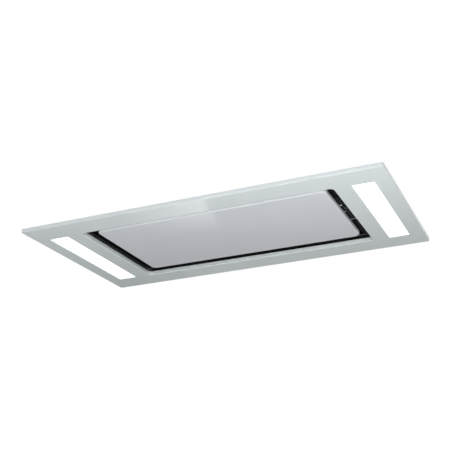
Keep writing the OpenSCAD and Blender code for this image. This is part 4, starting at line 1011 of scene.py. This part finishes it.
class HOOD_OT_housing_seams(bpy.types.Operator):
    """Lapped corner seams of the housing with their blind rivets"""

    bl_idname = "hood.housing_seams"
    bl_label = "Housing seams"

    def execute(self, context):
        settings = context.scene.hood_fitting
        low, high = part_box("housing_shell")
        lap = settings.seam_width
        bottom, top = low.z + SEAM_FOOT_GAP, high.z - SEAM_HEAD_GAP
        rise = (top - bottom) / settings.rivets_a_seam
        strips, rivets = [], []
        for sx in (-1, 1):
            for sy in (-1, 1):
                deselect_all()
                x = sx * (high.x + SEAM_SHEET / 2 - SEAM_SINK)
                y = sy * (high.y - SEAM_FROM_CORNER - lap / 2)
                bpy.ops.mesh.primitive_cube_add(size=1, location=(x, y, (bottom + top) / 2))
                strip = take("housing_seam")
                strip.scale = (SEAM_SHEET, lap, top - bottom)
                bpy.ops.object.transform_apply(location=True, rotation=True, scale=True)
                bevel = strip.modifiers.new("Bevel", "BEVEL")
                bevel.width = SEAM_EDGE
                bevel.segments = 2
                apply_modifiers(strip)
                strips.append(strip)
                turn = Matrix.Rotation(sx * math.pi / 2, 4, "Y")
                for step in range(settings.rivets_a_seam):
                    place = (sx * (high.x + SEAM_SHEET - SEAM_SINK), y,
                             bottom + (step + 0.5) * rise)
                    rivets.append(Matrix.Translation(place) @ turn)
        only(*strips)
        bpy.ops.object.join()
        finish_piece(take("housing_seams"), "hood",
                     FINISHES["galvanised_sheet"])
        heads = copies(rivet_head(settings, "housing_rivet"), rivets, "housing_rivets")
        finish_piece(heads, "hood", FINISHES["bright_steel"], smooth=40)
        return {"FINISHED"}


class HOOD_OT_panel_fittings(bpy.types.Operator):
    """Rivets of the strike plates and hinge leaves, and rubber buffers on the back of the panel"""

    bl_idname = "hood.panel_fittings"
    bl_label = "Panel fittings"

    def execute(self, context):
        settings = context.scene.hood_fitting
        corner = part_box("panel_tray")[1]
        strike_y = box_of("strike_plates")[2].y
        leaf_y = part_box("hinge_leaves")[0].y + LEAF_RIVET_EDGE
        level = corner.z + PLATE_THICKNESS
        places = []
        for side in (-1, 1):
            for way in (-1, 1):
                places.append((side * FITTING_X + way * STRIKE_RIVET_STEP, strike_y, level))
                places.append((side * FITTING_X + way * LEAF_RIVET_STEP, leaf_y, level))
        heads = copies(rivet_head(settings, "panel_rivet"),
                       [Matrix.Translation(place) @ Matrix.Scale(PANEL_RIVET_SHARE, 4)
                        for place in places], "panel_rivets")
        finish_piece(heads, "centre_panel", FINISHES["bright_steel"], smooth=40)
        buffers = []
        for sx in (-1, 1):
            for sy in (-1, 1):
                buffers.append(Matrix.Translation((sx * (corner.x - BUFFER_INSET_X),
                                                   sy * (corner.y - BUFFER_INSET_Y), corner.z)))
        deselect_all()
        bpy.ops.mesh.primitive_cylinder_add(vertices=24, radius=BUFFER_RADIUS,
                                            depth=BUFFER_HEIGHT, location=(0, 0, BUFFER_HEIGHT / 2))
        pad = take("panel_buffer")
        bpy.ops.object.transform_apply(location=True, rotation=True, scale=True)
        bpy.ops.object.mode_set(mode="EDIT")
        for inset, rise in BUFFER_RINGS:
            select_faces(pad, lambda face: face.normal.z > 0.9
                         and face.calc_center_median().xy.length < 0.1 * MM)
            bpy.ops.mesh.inset(thickness=inset, depth=rise)
        bpy.ops.object.mode_set(mode="OBJECT")
        finish_piece(copies(pad, buffers, "panel_buffers"), "centre_panel",
                     FINISHES["grommet_rubber"], smooth=50)
        return {"FINISHED"}


class HOOD_OT_spigot_bead(bpy.types.Operator):
    """Rolled bead round the mouth of the duct spigot"""

    bl_idname = "hood.spigot_bead"
    bl_label = "Spigot bead"

    def execute(self, context):
        high, middle = box_of("duct_collar")[1:]
        mounts = {mount["name"]: mount for mount in frame["record"]["mounts"]}
        radius = mounts["duct_spigot"]["dims"]["r_mm"] * MM
        deselect_all()
        bpy.ops.mesh.primitive_circle_add(vertices=14, radius=BEAD_RADIUS, fill_type="NOTHING",
                                          location=(radius - BEAD_IN, 0, high.z - BEAD_DOWN),
                                          rotation=(math.pi / 2, 0, 0))
        bead = take("spigot_bead")
        bpy.ops.object.transform_apply(location=True, rotation=True, scale=True)
        bpy.ops.object.mode_set(mode="EDIT")
        bpy.ops.mesh.select_all(action="SELECT")
        bpy.ops.mesh.spin(steps=BEAD_STEPS, angle=2 * math.pi, center=(0, 0, 0), axis=(0, 0, 1))
        bpy.ops.object.mode_set(mode="OBJECT")
        bead.location = (middle.x, middle.y, 0)
        finish_piece(bead, "hood", FINISHES["galvanised_sheet"], smooth=60)
        return {"FINISHED"}


# Panel and run


OPERATORS = (HOOD_OT_finishes, HOOD_OT_filter_weave, HOOD_OT_housing_seams,
             HOOD_OT_panel_fittings, HOOD_OT_spigot_bead, HOOD_OT_stage)
SETTINGS = {
    "hood_finish": HoodFinishSettings,
    "hood_fitting": HoodFittingSettings,
    "hood_stage": HoodStageSettings,
}


class HOOD_PT_sidebar(bpy.types.Panel):
    """Lists the hood's operators"""

    bl_idname = "HOOD_PT_sidebar"
    bl_label = "Range hood"
    bl_space_type = "VIEW_3D"
    bl_region_type = "UI"
    bl_category = "Range hood"

    def draw(self, context):
        for name in SETTINGS:
            settings = getattr(context.scene, name)
            box = self.layout.box()
            for key in settings.bl_rna.properties.keys():
                if key not in ("rna_type", "name"):
                    box.prop(settings, key)
        for operator in OPERATORS:
            self.layout.operator(operator.bl_idname)


def register():
    """Adds the settings, operators and panel"""
    for group in SETTINGS.values():
        bpy.utils.register_class(group)
    for operator in (*OPERATORS, HOOD_PT_sidebar):
        bpy.utils.register_class(operator)
    for name, group in SETTINGS.items():
        setattr(bpy.types.Scene, name, bpy.props.PointerProperty(type=group))


def unregister():
    """Takes them away again"""
    for name in SETTINGS:
        delattr(bpy.types.Scene, name)
    for operator in (HOOD_PT_sidebar, *reversed(OPERATORS)):
        bpy.utils.unregister_class(operator)
    for group in SETTINGS.values():
        bpy.utils.unregister_class(group)


def main():
    """Registers the add-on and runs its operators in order"""
    register()
    bpy.ops.hood.finishes()
    bpy.ops.hood.filter_weave()
    bpy.ops.hood.housing_seams()
    bpy.ops.hood.panel_fittings()
    bpy.ops.hood.spigot_bead()
    bpy.ops.hood.stage()


if __name__ == "__main__":
    main()
